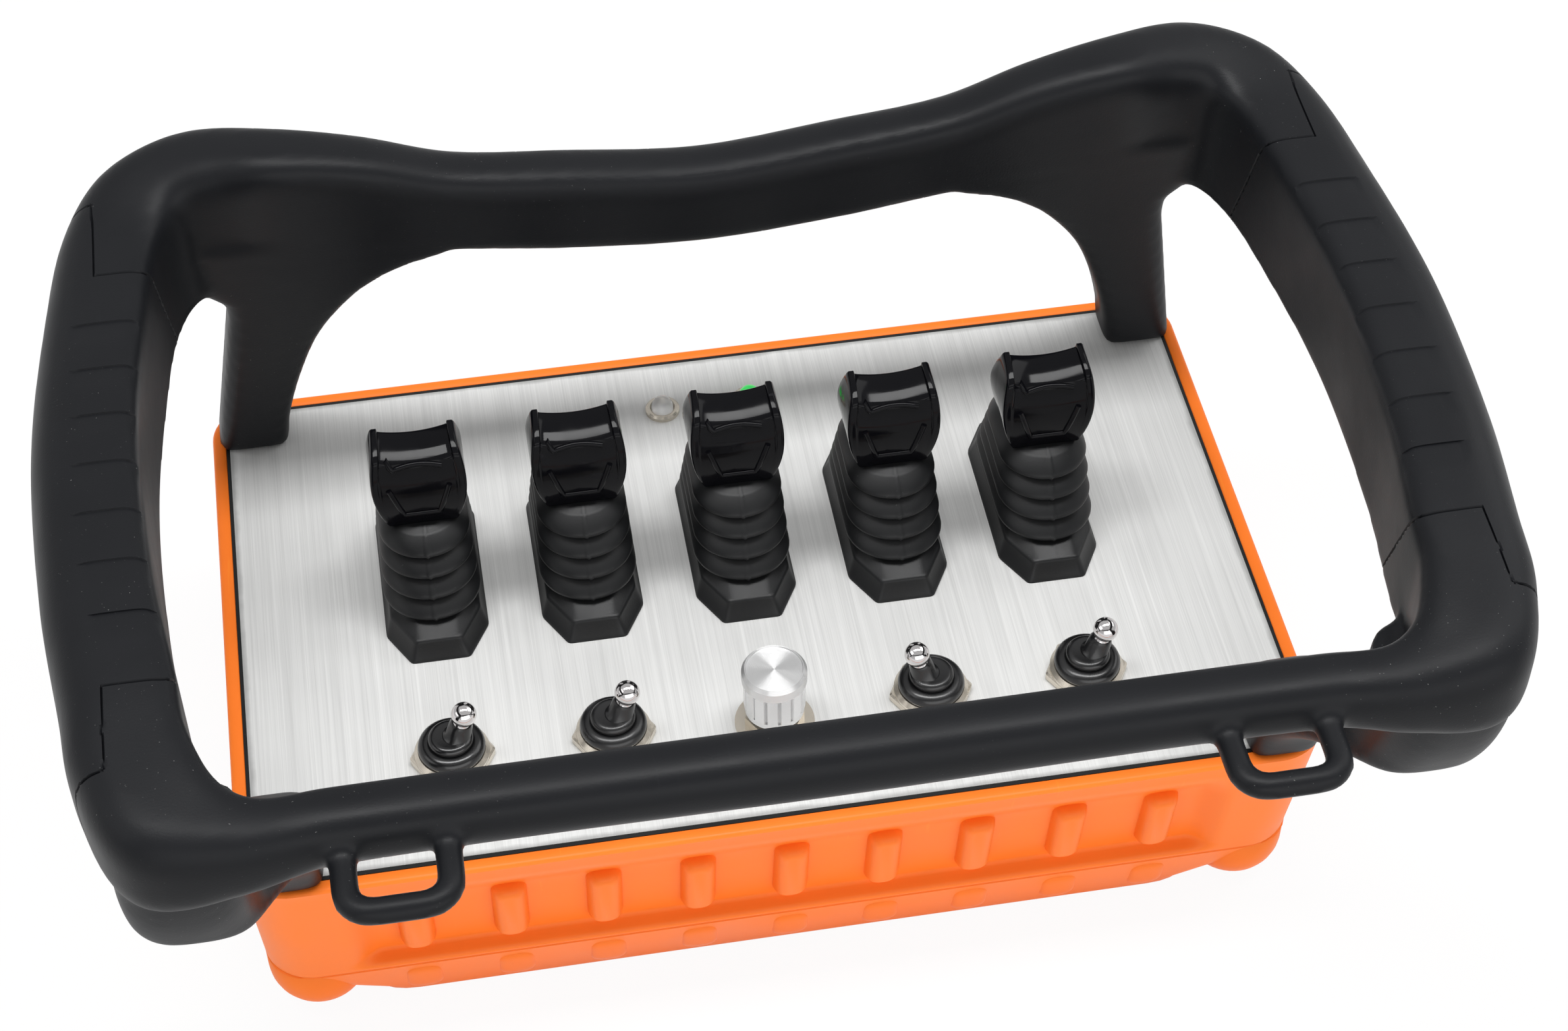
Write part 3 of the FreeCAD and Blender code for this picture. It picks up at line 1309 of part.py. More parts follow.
def leg_solid(side):
    """Loft one front leg from its foot on the panel out to the bulge and up into the ring."""
    half, depth = size("leg_foot_width") / 2, size("leg_foot_depth") / 2
    radius, corner = size("bulge_radius"), size("bulge_corner")
    foot_x, bulge_x = size("leg_foot_x"), size("bulge_x")
    foot_y, bulge_y = size("leg_foot_y"), size("bulge_y")
    low, lean = size("bulge_low"), size("bulge_lean")
    stations = []
    for rise, out, ahead, behind in LEG_COURSE:
        front = mix(foot_y + depth, bulge_y + radius, ahead)
        rear = mix(foot_y - depth, bulge_y - radius, behind)
        spot = (rise * low, mix(foot_x, bulge_x, out), mix(half, radius, out))
        stations.append((*spot, front, rear, mix(size("leg_round"), corner, out)))
    full = (bulge_x, radius)
    rounding = low + size("bulge_round")
    stations.append((rounding, *full, bulge_y + radius, bulge_y - radius, corner))
    top = size("frame_low") + size("leg_sink")
    stations.append((top, *full, bulge_y + radius + lean, bulge_y - radius + lean / 2, corner))
    wires = []
    for z, x, spread, front, rear, round_ in stations:
        spot = (side * x, 0, size("panel_top") + z)
        wires.append(level_section(*spot, 2 * spread, front, -rear, round_))
    return straight_loft(wires)


def loop_solid(side):
    """Loft one strap loop as a bent bar of rounded section."""
    z = size("panel_top") + size("loop_height")
    inner, outer = size("loop_inner"), size("loop_outer")
    start, reach = -size("bar_reach"), -size("loop_reach")
    bend, half = size("loop_bend"), size("loop_bar") / 2
    path = [(inner, start, 0)]
    for centre, first in ((inner + bend, 0), (outer - bend, 90)):
        for step in range(ROUND_STEPS + 1):
            angle = first + 90 * step / ROUND_STEPS
            across = bend * math.cos(math.radians(angle))
            along = bend * math.sin(math.radians(angle))
            path.append((centre - across, reach + bend - along, angle))
    path.append((outer, start, 180))
    wires = []
    for x, y, angle in path:
        across = -side * math.cos(math.radians(angle))
        out = FreeCAD.Vector(across, -math.sin(math.radians(angle)), 0) * half
        up = FreeCAD.Vector(0, 0, half)
        middle = FreeCAD.Vector(side * x, y, z)
        corners = [middle - out - up, middle + out - up, middle + out + up, middle - out + up]
        wires.append(rounded_wire(corners, [ROUND_BAR * half] * 4))
    return straight_loft(wires)


def seam_prism(side, gap):
    """Return the stepped upright block that holds one grip, drawn in by a gap."""
    step = size("seam_step")
    far = 2 * size("grip_reach")
    near = 0.5 * size("grip_reach")
    points = [
        (near, size("seam_rear_inner") - gap), (step + gap, size("seam_rear_inner") - gap),
        (step + gap, size("seam_rear_outer") - gap), (far, size("seam_rear_outer") - gap),
        (far, -size("seam_front_outer") + gap), (step + gap, -size("seam_front_outer") + gap),
        (step + gap, -size("seam_front_inner") + gap), (near, -size("seam_front_inner") + gap),
    ]
    corners = [FreeCAD.Vector(side * x, y, 0) for x, y in points]
    face = Part.Face(Part.makePolygon(corners + corners[:1]))
    return face.extrude(FreeCAD.Vector(0, 0, 4 * size("frame_high")))


def grip_grooves(side):
    """Return the shallow pockets across the top of one grip."""
    top = size("panel_top") + size("frame_high")
    width, length, depth = size("groove_width"), size("groove_length"), size("groove_depth")
    pockets = []
    for index in range(GROOVE_COUNT):
        y = size("groove_first") - index * size("groove_pitch") - length
        middle = side * (size("grip_reach") - size("grip_width") / 2 + size("grip_inner_round") + width / 2)
        spot = FreeCAD.Vector(middle - width / 2, y, top - depth)
        pockets.append(Part.makeBox(width, length, 2 * depth, spot))
    return pockets


def build_guard_frame():
    """Build the guard frame and split it into its four mouldings."""
    ring = ring_solid()
    thread = size("frame_screw_diameter") / 2 + size("frame_screw_thread_gap")
    base = size("panel_top")
    depth = size("frame_screw_reach") + size("frame_screw_clear_gap")
    holes = []
    for side in SIDES:
        for y in (size("frame_screw_rear"), -size("frame_screw_front")):
            spot = FreeCAD.Vector(side * size("frame_screw_x"), y, base)
            holes.append(Part.makeCylinder(thread, depth, spot))
    rest = ring
    seats = []
    for side, label in zip(SIDES, ("left_grip", "right_grip")):
        grip = ring.common(seam_prism(side, size("seam_gap"))).cut(grip_grooves(side))
        seats.append(ring.common(seam_prism(side, 0.0)))
        rest = rest.cut(seam_prism(side, 0.0))
        add_moulding(grip, label)
    rear = next(piece for piece in rest.Solids if piece.CenterOfMass.y > 0)
    front = next(piece for piece in rest.Solids if piece.CenterOfMass.y < 0)
    add_moulding(rear.fuse([web_solid(side) for side in SIDES]).cut(holes), "rear_handle")
    pieces = [leg_solid(side) for side in SIDES] + [loop_solid(side) for side in SIDES]
    add_moulding(front.fuse(pieces).cut(seats + holes), "front_bar")


def add_moulding(shape, label):
    """Add one finished moulding of the guard frame."""
    thing = doc.addObject("Part::Feature", label)
    solid = shape.removeSplitter()
    thing.Shape = solid.Solids[0] if len(solid.Solids) == 1 else solid
    node(thing, label)


def screw(x, y, z, diameter, length, head, head_height):
    """Build an upward screw whose head seats against a face at z."""
    shank = cylinder(x, y, z, diameter, length)
    cap = cylinder(x, y, f"{z} - {head_height}", head, head_height)
    return fuse(shank, cap)


def build_fasteners():
    """Build the frame screws, housing screws and board screws as groups."""
    length = "panel_top + frame_screw_reach - frame_head_seat"
    head = ("frame_head_diameter", "frame_head_height")
    frame = [
        screw(x, y, "frame_head_seat", "frame_screw_diameter", length, *head)
        for x, y in frame_screw_places()
    ]
    node(group(*frame), "frame_screws")
    small = ("small_head_diameter", "small_head_height")
    shell = [
        screw(x, y, "shell_screw_seat", "small_screw_diameter", "shell_screw_length", *small)
        for x, y in corner_places("shell_boss_x", "shell_boss_y")
    ]
    flat = ("small_head_diameter", "cover_head_height")
    cover_seat = "small_head_sink + cover_head_height"
    cover = [
        screw(x, y, cover_seat, "small_screw_diameter", "cover_screw_length", *flat)
        for x, y in corner_places("cover_screw_x", "cover_screw_y")
    ]
    node(group(*shell, *cover), "housing_screws")
    board = []
    for x, y in corner_places("board_boss_x", "board_boss_y"):
        seat = "board_height + board_thickness"
        cap = cylinder(x, y, seat, "small_head_diameter", "small_head_height")
        shank = cylinder(x, y, f"{seat} - board_screw_length", "small_screw_diameter", "board_screw_length")
        board.append(fuse(cap, shank))
    node(group(*board), "board_screws")


def build_electronics():
    """Build the circuit board, radio module, battery pack and battery cover."""
    plate = box("0", "0", "board_height", "board_width", "board_depth", "board_thickness")
    top = "board_height + board_thickness"
    chip = ("chip_width", "chip_depth", "chip_height")
    plug = ("plug_width", "plug_depth", "plug_height")
    fitted = []
    for side in SIDES:
        fitted.append(box(f"{side} * 2 * chip_width", "-chip_depth", top, *chip))
        fitted.append(box(f"{side} * 2 * plug_width", "plug_depth - board_depth / 2", top, *plug))
    small = "small_screw_diameter + 2 * small_screw_gap"
    holes = [
        cylinder(x, y, "board_height", small, "board_thickness")
        for x, y in corner_places("board_boss_x", "board_boss_y")
    ]
    node(cut(fuse(plate, *fitted), *holes), "circuit_board")
    can = box("radio_x", "radio_y", top, "radio_width", "radio_depth", "radio_height")
    middle = ("radio_x + radio_width / 2 + antenna_length / 2", "radio_y")
    rise = f"{top} + antenna_diameter / 2"
    aerial = cylinder(*middle, rise, "antenna_diameter", "antenna_length", "x")
    node(fuse(can, aerial), "radio_module")
    pack = doc.addObject("PartDesign::Body", "pack")
    sketch = new_sketch(pack, "XY_Plane", "cover_thickness")
    reach = ("battery_width / 2", "battery_depth / 2")
    draw_polygon(sketch, chamfered(*reach, "battery_round", "battery_round"))
    add_feature(pack, "Pad", sketch, "battery_height")
    node(pack, "battery_pack")
    spread = "2 * battery_gap + 2 * cover_lip - 2 * cover_gap"
    plan = (f"battery_width + {spread}", f"battery_depth + {spread}")
    lid = box("0", "0", "0", *plan, "cover_thickness")
    bores = []
    for x, y in corner_places("cover_screw_x", "cover_screw_y"):
        bores.append(cylinder(x, y, "0", "small_head_bore", "small_head_sink + cover_head_height"))
        bores.append(cylinder(x, y, "0", small, "cover_thickness"))
    node(cut(lid, *bores), "battery_cover")


def main():
    """Build every piece, check it and write one file for each."""
    build_panel()
    build_gasket()
    build_upper_housing()
    build_lower_housing()
    build_lever_boots()
    build_lever_knobs()
    build_lever_works()
    build_toggles()
    build_dial()
    build_lamps()
    build_guard_frame()
    build_fasteners()
    build_electronics()
    doc.recompute()
    for thing in doc.Objects:
        if "Invalid" in thing.State or "Error" in thing.State:
            raise RuntimeError(f"{thing.Label} failed: {thing.State}")
    os.makedirs("parts", exist_ok=True)
    for thing in nodes:
        if thing.Shape.isNull() or not thing.Shape.isValid():
            raise RuntimeError(f"{thing.Label} has no valid shape")
        thing.Shape.exportStep(f"parts/{thing.Label}.step")


main()
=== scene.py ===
"""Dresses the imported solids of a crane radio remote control.

Sizes are in millimetres in the part's own frame: the base rests on z = 0, +X is to the
operator's right, +Y points away from the operator and the steel panel's top is at z = 60.
"""
import logging
import math
from collections.abc import Callable, Sequence
from dataclasses import dataclass
from enum import Enum

import bmesh
import bpy
from mathutils import Matrix, Vector


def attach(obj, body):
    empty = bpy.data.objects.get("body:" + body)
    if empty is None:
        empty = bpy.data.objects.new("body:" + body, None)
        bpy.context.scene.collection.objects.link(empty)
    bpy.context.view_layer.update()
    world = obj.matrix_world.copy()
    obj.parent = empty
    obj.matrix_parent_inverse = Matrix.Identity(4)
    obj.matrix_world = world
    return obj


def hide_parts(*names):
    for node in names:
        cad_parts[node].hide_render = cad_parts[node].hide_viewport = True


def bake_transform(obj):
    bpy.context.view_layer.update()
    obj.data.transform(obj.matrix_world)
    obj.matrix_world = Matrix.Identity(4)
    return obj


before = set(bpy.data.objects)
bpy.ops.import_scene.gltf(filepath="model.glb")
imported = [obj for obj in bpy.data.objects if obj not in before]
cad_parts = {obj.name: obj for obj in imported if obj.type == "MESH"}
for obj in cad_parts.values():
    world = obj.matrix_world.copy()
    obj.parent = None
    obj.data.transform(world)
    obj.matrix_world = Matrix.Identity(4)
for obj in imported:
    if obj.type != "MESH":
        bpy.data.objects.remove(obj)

LOG = logging.getLogger("crane_remote")
METRES = 0.001
PANEL_TOP = 60.0
MERGE_DISTANCE = 0.002
POLE_RADIUS = 0.001
SHORTEST_SPAN = 0.001

Colour = tuple[float, float, float]
Place = tuple[float, float, float]
Point = tuple[float, float]
Ring = list[Vector]
Socket = bpy.types.NodeSocket
Thing = bpy.types.Object


class Side(Enum):
    """The two mirrored sides of the remote control."""

    LEFT = -1
    RIGHT = 1


class Grain(Enum):
    """How the fine lines of a machined metal surface run."""

    ROUND = "circles about an upright axis"
    NONE = "no lines"


# Mesh building


def mix(low: float, high: float, share: float) -> float:
    """Return the value at a share of the way from low to high."""
    return low + (high - low) * share


def ease(value: float, start: float, end: float) -> float:
    """Return a smooth step from 0 at start to 1 at end."""
    share = min(max((value - start) / (end - start), 0.0), 1.0)
    return share * share * (3.0 - 2.0 * share)


def rounded_polygon(corners: Sequence[Point], rounds: Sequence[float],
                    steps: int = 5, splits: int = 1) -> list[Point]:
    """Return a closed outline with rounded corners.

    Args:
        corners: corner points in order.
        rounds: tangent length of the rounding at each corner.
        steps: straight pieces in each rounding.
        splits: pieces that each flat is divided into.

    Returns:
        The outline's points, as many for every outline with these counts.
    """
    points: list[Point] = []
    count = len(corners)
    arcs = []
    for index, reach in enumerate(rounds):
        here = Vector(corners[index])
        back = (Vector(corners[index - 1]) - here).normalized() * reach
        ahead = (Vector(corners[(index + 1) % count]) - here).normalized() * reach
        start, end = here + back, here + ahead
        arc = []
        for step in range(steps + 1):
            share = step / steps
            arc.append((1 - share) ** 2 * start + 2 * share * (1 - share) * here + share ** 2 * end)
        arcs.append(arc)
    for index, arc in enumerate(arcs):
        points += [tuple(point) for point in arc]
        follow = arcs[(index + 1) % count][0]
        for split in range(1, splits):
            points.append(tuple(arc[-1].lerp(follow, split / splits)))
    return points


def circle(radius: float, steps: int) -> list[Point]:
    """Return the points of a circle about the origin."""
    angles = [2 * math.pi * step / steps for step in range(steps)]
    return [(radius * math.cos(angle), radius * math.sin(angle)) for angle in angles]


def arc_points(centre: Point, radius: float, first: float, last: float, steps: int) -> list[Point]:
    """Return points along a circle from one angle in degrees to another.

    Args:
        centre: middle of the circle.
        radius: its radius.
        first: angle of the first point.
        last: angle of the last point.
        steps: pieces between them.

    Returns:
        The points in order.
    """
    angles = [math.radians(mix(first, last, step / steps)) for step in range(steps + 1)]
    return [(centre[0] + radius * math.cos(angle), centre[1] + radius * math.sin(angle))
            for angle in angles]


def rounding(radius: float, steps: int) -> list[Point]:
    """Return the insets and drops of an edge's quarter round, from its side to its top."""
    angles = [math.radians(90 * step / steps) for step in range(steps + 1)]
    return [(radius * (1 - math.cos(angle)), radius * (1 - math.sin(angle))) for angle in angles]


def rectangle(left: float, right: float, low: float, high: float) -> list[Point]:
    """Return a rectangle's corners in order."""
    return [(left, low), (right, low), (right, high), (left, high)]


def level_ring(points: Sequence[Point], x: float, y: float, z: float) -> Ring:
    """Return plan points as a level ring about a place."""
    return [Vector((x + px, y + py, z)) for px, py in points]


def smooth_rows(keys: Sequence[Sequence[float]], gap: float) -> list[list[float]]:
    """Return rows interpolated smoothly between key rows.

    Args:
        keys: key rows whose first two values are a place in plan; the first and the last row
            only guide the curve.
        gap: largest distance in plan between two returned rows.

    Returns:
        The rows from the second key row to the last but one.
    """
    rows: list[list[float]] = []
    for index in range(1, len(keys) - 2):
        before, here, there, after = keys[index - 1:index + 3]
        span = max(math.dist(here[:2], there[:2]), SHORTEST_SPAN)
        back = math.dist(before[:2], here[:2]) + span
        ahead = math.dist(there[:2], after[:2]) + span
        count = max(2, math.ceil(span / gap))
        for step in range(count):
            t = step / count
            row = []
            for old, low, high, new in zip(before, here, there, after):
                leave, arrive = (high - old) * span / back, (new - low) * span / ahead
                row.append((2 * t ** 3 - 3 * t ** 2 + 1) * low + (t ** 3 - 2 * t ** 2 + t) * leave
                           + (3 * t ** 2 - 2 * t ** 3) * high + (t ** 3 - t ** 2) * arrive)
            rows.append(row)
    rows.append(list(keys[-2]))
    return rows


class Shape:
    """A mesh under construction, in millimetres."""

    def __init__(self) -> None:
        """Start with an empty mesh."""
        self.data = bmesh.new()

    def loft(self, rings: Sequence[Ring], closed: bool = False) -> "Shape":
        """Skin neighbouring rings; the ends are capped unless the path closes on itself.

        Args:
            rings: rings with the same number of points.
            closed: whether the last ring joins the first.

        Returns:
            This shape.
        """
        rows = [[self.data.verts.new(point) for point in ring] for ring in rings]
        pairs = list(zip(rows, rows[1:]))
        if closed:
            pairs.append((rows[-1], rows[0]))
        for low, high in pairs:
            for index in range(len(low)):
                follow = (index + 1) % len(low)
                self.data.faces.new((low[index], low[follow], high[follow], high[index]))
        if not closed:
            self.data.faces.new(rows[0][::-1])
            self.data.faces.new(rows[-1])
        return self

    def lathe(self, outline: Sequence[Point], steps: int = 48) -> "Shape":
        """Turn an outline of radius and height about the Z axis."""
        rings = [level_ring(circle(max(radius, POLE_RADIUS), steps), 0, 0, z) for radius, z in outline]
        return self.loft(rings)

    def tilt(self, degrees: float, axis: str) -> "Shape":
        """Turn the whole shape about an axis through the origin.

        Args:
            degrees: how far to turn.
            axis: X, Y or Z.

        Returns:
            This shape.
        """
        bmesh.ops.rotate(self.data, verts=self.data.verts, cent=(0, 0, 0),
                         matrix=Matrix.Rotation(math.radians(degrees), 3, axis))
        return self

    def move(self, x: float, y: float, z: float) -> "Shape":
        """Shift the whole shape."""
        bmesh.ops.translate(self.data, verts=self.data.verts, vec=(x, y, z))
        return self

    def add(self, other: "Shape") -> "Shape":
        """Join another shape's mesh to this one and drop the other.

        Args:
            other: shape to join.

        Returns:
            This shape.
        """
        mesh = bpy.data.meshes.new("joining")
        other.data.to_mesh(mesh)
        other.data.free()
        self.data.from_mesh(mesh)
        bpy.data.meshes.remove(mesh)
        return self

    def mesh(self, name: str) -> bpy.types.Mesh:
        """Return the finished mesh in metres with faces that point outwards.

        Args:
            name: the mesh's name.

        Returns:
            The mesh.
        """
        bmesh.ops.remove_doubles(self.data, verts=self.data.verts, dist=MERGE_DISTANCE)
        bmesh.ops.recalc_face_normals(self.data, faces=self.data.faces)
        mesh = bpy.data.meshes.new(name)
        self.data.to_mesh(mesh)
        self.data.free()
        mesh.transform(Matrix.Scale(METRES, 4))
        return mesh


def add_object(name: str, mesh: bpy.types.Mesh) -> Thing:
    """Link a mesh into the scene as an object at the origin.

    Args:
        name: the object's name.
        mesh: its mesh.

    Returns:
        The object.
    """
    thing = bpy.data.objects.new(name, mesh)
    bpy.context.scene.collection.objects.link(thing)
    return thing


def baked(thing: Thing) -> Thing:
    """Put an object's evaluated mesh in place of its modifiers.

    Args:
        thing: object with modifiers.

    Returns:
        The same object with a plain mesh.
    """
    bpy.context.view_layer.update()
    graph = bpy.context.evaluated_depsgraph_get()
    fresh = bpy.data.meshes.new_from_object(thing.evaluated_get(graph))
    old = thing.data
    thing.modifiers.clear()
    thing.data = fresh
    fresh.name = thing.name
    bpy.data.meshes.remove(old)
    return thing


def as_moulding(thing: Thing, voxel: float, passes: int) -> Thing:
    """Merge overlapping solids into one skin with soft inner and outer corners.

    Args:
        thing: object whose mesh holds closed, overlapping solids.
        voxel: size of the new skin's faces in millimetres.
        passes: smoothing passes over the new skin.

    Returns:
        The object with its new mesh.
    """
    remesh = thing.modifiers.new("skin", "REMESH")
    remesh.mode = "VOXEL"
    remesh.voxel_size = voxel * METRES
    smooth = thing.modifiers.new("soften", "SMOOTH")
    smooth.factor = 0.5
    smooth.iterations = passes
    return baked(thing)


# Finishes


class Paint:
    """One procedural material under construction."""

    def __init__(self, name: str) -> None:
        """Start a material with an empty principled shader.

        Args:
            name: the material's name.
        """
        self.material = bpy.data.materials.new(name)
        self.material.use_nodes = True
        self.tree = self.material.node_tree
        self.shader = self.tree.nodes["Principled BSDF"]
        self.place = self.tree.nodes.new("ShaderNodeTexCoord").outputs["Object"]

    def set(self, **values: object) -> None:
        """Set sockets of the shader; an underscore in a name stands for a space.

        Args:
            values: sockets to link, colours or numbers, by input name.
        """
        for name, value in values.items():
            socket = self.shader.inputs[name.replace("_", " ")]
            if isinstance(value, Socket):
                self.tree.links.new(value, socket)
            elif isinstance(value, tuple):
                socket.default_value = (*value, 1.0)
            else:
                socket.default_value = value

    def stretched(self, scale: Place, centre: Place = (0.0, 0.0, 0.0)) -> Socket:
        """Return object coordinates about a centre in metres, scaled along each axis.

        Args:
            scale: factor along each axis.
            centre: place that becomes zero.

        Returns:
            The changed coordinates.
        """
        shift = self.tree.nodes.new("ShaderNodeVectorMath")
        shift.operation = "SUBTRACT"
        shift.inputs[1].default_value = centre
        self.tree.links.new(self.place, shift.inputs[0])
        grow = self.tree.nodes.new("ShaderNodeVectorMath")
        grow.operation = "MULTIPLY"
        grow.inputs[1].default_value = scale
        self.tree.links.new(shift.outputs[0], grow.inputs[0])
        return grow.outputs[0]

    def noise(self, scale: float, detail: float = 2.0,
              along: Socket | None = None) -> Socket:
        """Return a noise value over the surface, about 0.5 on average.

        Args:
            scale: how fine the noise is.
            detail: how many finer layers it has.
            along: coordinates to read in place of the object's own.

        Returns:
            The noise value.
        """
        node = self.tree.nodes.new("ShaderNodeTexNoise")
        node.inputs["Scale"].default_value = scale
        node.inputs["Detail"].default_value = detail
        self.tree.links.new(along or self.place, node.inputs["Vector"])
        return node.outputs["Fac"]

    def ramp(self, source: Socket, start: float, end: float, low: float = 0.0,
             high: float = 1.0) -> Socket:
        """Return a source range mapped to a new range, clamped at its ends.

        Args:
            source: value to map.
            start: source value that gives low.
            end: source value that gives high.
            low: first end of the new range.
            high: last end of the new range.

        Returns:
            The mapped value.
        """
        node = self.tree.nodes.new("ShaderNodeMapRange")
        for name, value in (("From Min", start), ("From Max", end), ("To Min", low), ("To Max", high)):
            node.inputs[name].default_value = value
        self.tree.links.new(source, node.inputs["Value"])
        return node.outputs["Result"]

    def maths(self, operation: str, first: Socket,
              second: Socket | float) -> Socket:
        """Return one arithmetic step on two values.

        Args:
            operation: name of the step.
            first: left value.
            second: right value.

        Returns:
            The result.
        """
        node = self.tree.nodes.new("ShaderNodeMath")
        node.operation = operation
        self.tree.links.new(first, node.inputs[0])
        if isinstance(second, Socket):
            self.tree.links.new(second, node.inputs[1])
        else:
            node.inputs[1].default_value = second
        return node.outputs[0]

    def axis(self, name: str) -> Socket:
        """Return one object coordinate in metres.

        Args:
            name: X, Y or Z.

        Returns:
            The coordinate.
        """
        node = self.tree.nodes.new("ShaderNodeSeparateXYZ")
        self.tree.links.new(self.place, node.inputs[0])
        return node.outputs[name]

    def blend(self, factor: Socket, low: Colour | Socket,
              high: Colour | Socket) -> Socket:
        """Return a colour between two colours by a factor.

        Args:
            factor: 0 for the first colour, 1 for the second.
            low: first colour.
            high: second colour.

        Returns:
            The blended colour.
        """
        node = self.tree.nodes.new("ShaderNodeMix")
        node.data_type = "RGBA"
        self.tree.links.new(factor, node.inputs["Factor"])
        for socket, value in ((node.inputs[6], low), (node.inputs[7], high)):
            if isinstance(value, tuple):
                socket.default_value = (*value, 1.0)
            else:
                self.tree.links.new(value, socket)
        return node.outputs[2]

    def bump(self, height: Socket, depth: float, strength: float = 1.0,
             base: Socket | None = None) -> Socket:
        """Return a normal bent by a height field of a depth in millimetres.

        Args:
            height: height field from 0 to 1.
            depth: its full height.
            strength: share of it that shows.
            base: normal to bend in place of the surface's own.

        Returns:
            The bent normal.
        """
        node = self.tree.nodes.new("ShaderNodeBump")
        node.inputs["Strength"].default_value = strength
        node.inputs["Distance"].default_value = depth * METRES
        self.tree.links.new(height, node.inputs["Height"])
        if base is not None:
            self.tree.links.new(base, node.inputs["Normal"])
        return node.outputs["Normal"]


@dataclass(frozen=True)
class Finish:
    """A surface finish that one or more pieces wear."""

    name: str
    slot: str
    colour: Colour
    roughness: float = 0.5

    def material(self) -> bpy.types.Material:
        """Return the finish's material, made on first use.

        Returns:
            The material.
        """
        known = bpy.data.materials.get(self.name)
        if known is not None:
            return known
        paint = Paint(self.name)
        self.dress(paint)
        return paint.material

    def dress(self, paint: Paint) -> None:
        """Set up the surface; each kind of finish has its own way."""
        raise NotImplementedError

    def shade(self, share: float) -> Colour:
        """Return the finish's colour made darker or lighter."""
        return tuple(min(channel * share, 1.0) for channel in self.colour)


@dataclass(frozen=True)
class MouldedPlastic(Finish):
    """Moulded plastic or rubber with a fine tooled texture, dust and scuffs."""

    texture: float = 0.03
    texture_scale: float = 2200.0
    dust: float = 0.0
    dust_scale: float = 2400.0
    dust_colour: Colour = (0.45, 0.45, 0.44)
    scuff: float = 0.0
    specular: float = 0.5
    cloud_scale: float = 35.0
    drift_scale: float = 14.0
    scratch_scale: float = 60.0
    wave_scale: float = 160.0
    wave_depth: float = 0.05

    def dress(self, paint: Paint) -> None:
        """Set up colour drift, dust specks, fine scratches and tooled texture.

        Args:
            paint: material to set up.
        """
        cloud = paint.noise(self.cloud_scale, 4.0)
        colour = paint.blend(cloud, self.shade(0.9), self.shade(1.1))
        specks = paint.ramp(paint.noise(self.dust_scale, 1.0), 0.77, 0.81, 0.0, self.dust)
        drift = paint.ramp(paint.noise(self.drift_scale), 0.45, 0.7)
        colour = paint.blend(paint.maths("MULTIPLY", specks, drift), colour, self.dust_colour)
        lines = paint.noise(self.scratch_scale, 3.0, paint.stretched((14.0, 1.0, 1.0)))
        scratches = paint.ramp(lines, 0.71, 0.73, 0.0, self.scuff)
        colour = paint.blend(scratches, colour, self.shade(2.4))
        grain = paint.noise(self.texture_scale, 1.0)
        normal = paint.bump(paint.noise(self.wave_scale), self.wave_depth, 0.4)
        paint.set(Base_Color=colour, Specular_IOR_Level=self.specular,
                  Roughness=paint.ramp(cloud, 0.3, 0.7, self.roughness - 0.06, self.roughness + 0.06),
                  Normal=paint.bump(grain, self.texture, 0.5, normal))


@dataclass(frozen=True)
class GlossPlastic(Finish):
    """Hard polished plastic with hair scratches and finger marks."""

    coat: float = 0.4
    coat_roughness: float = 0.08
    specular: float = 0.5
    mark_scale: float = 120.0
    hair_scale: float = 40.0

    def dress(self, paint: Paint) -> None:
        """Set up a polished surface with faint marks.

        Args:
            paint: material to set up.
        """
        marks = paint.noise(self.mark_scale, 4.0)
        hair = paint.noise(self.hair_scale, 2.0, paint.stretched((1.0, 9.0, 3.0)))
        scratches = paint.ramp(hair, 0.70, 0.72, 0.0, 0.25)
        rough = paint.ramp(marks, 0.35, 0.7, self.roughness - 0.04, self.roughness + 0.06)
        paint.set(Base_Color=paint.blend(scratches, self.shade(1.0), self.shade(3.0)),
                  Roughness=paint.maths("ADD", rough, scratches), Coat_Weight=self.coat,
                  Coat_Roughness=self.coat_roughness, Specular_IOR_Level=self.specular,
                  Normal=paint.bump(marks, 0.03, 0.3))


@dataclass(frozen=True)
class MachinedMetal(Finish):
    """Plated, brushed or spun metal."""

    metal: float = 1.0
    grain: Grain = Grain.NONE
    grain_depth: float = 0.02
    centre: Place = (0.0, 0.0, 0.0)
    stain_scale: float = 70.0
    pit_scale: float = 900.0
    ring_scale: float = 1500.0

    def dress(self, paint: Paint) -> None:
        """Set up a metal with its lines, stains and uneven polish.

        Args:
            paint: material to set up.
        """
        stains = paint.noise(self.stain_scale, 4.0)
        colour = paint.blend(paint.ramp(stains, 0.3, 0.75), self.shade(1.04), self.shade(0.9))
        rough = paint.ramp(stains, 0.3, 0.7, self.roughness - 0.04, self.roughness + 0.05)
        normal = paint.bump(paint.noise(self.pit_scale), 0.01, 0.3)
        if self.grain is Grain.ROUND:
            wave = paint.tree.nodes.new("ShaderNodeTexWave")
            wave.wave_type = "RINGS"
            wave.rings_direction = "Z"
            wave.inputs["Scale"].default_value = self.ring_scale
            wave.inputs["Distortion"].default_value = 1.2
            paint.tree.links.new(paint.stretched((1.0, 1.0, 1.0), self.centre), wave.inputs["Vector"])
            normal = paint.bump(wave.outputs["Fac"], self.grain_depth, 0.8)
            tangent = paint.tree.nodes.new("ShaderNodeTangent")
            tangent.direction_type = "RADIAL"
            tangent.axis = "Z"
            paint.set(Anisotropic=0.85, Anisotropic_Rotation=0.25, Tangent=tangent.outputs[0])
        paint.set(Base_Color=colour, Metallic=self.metal, Roughness=rough, Normal=normal)


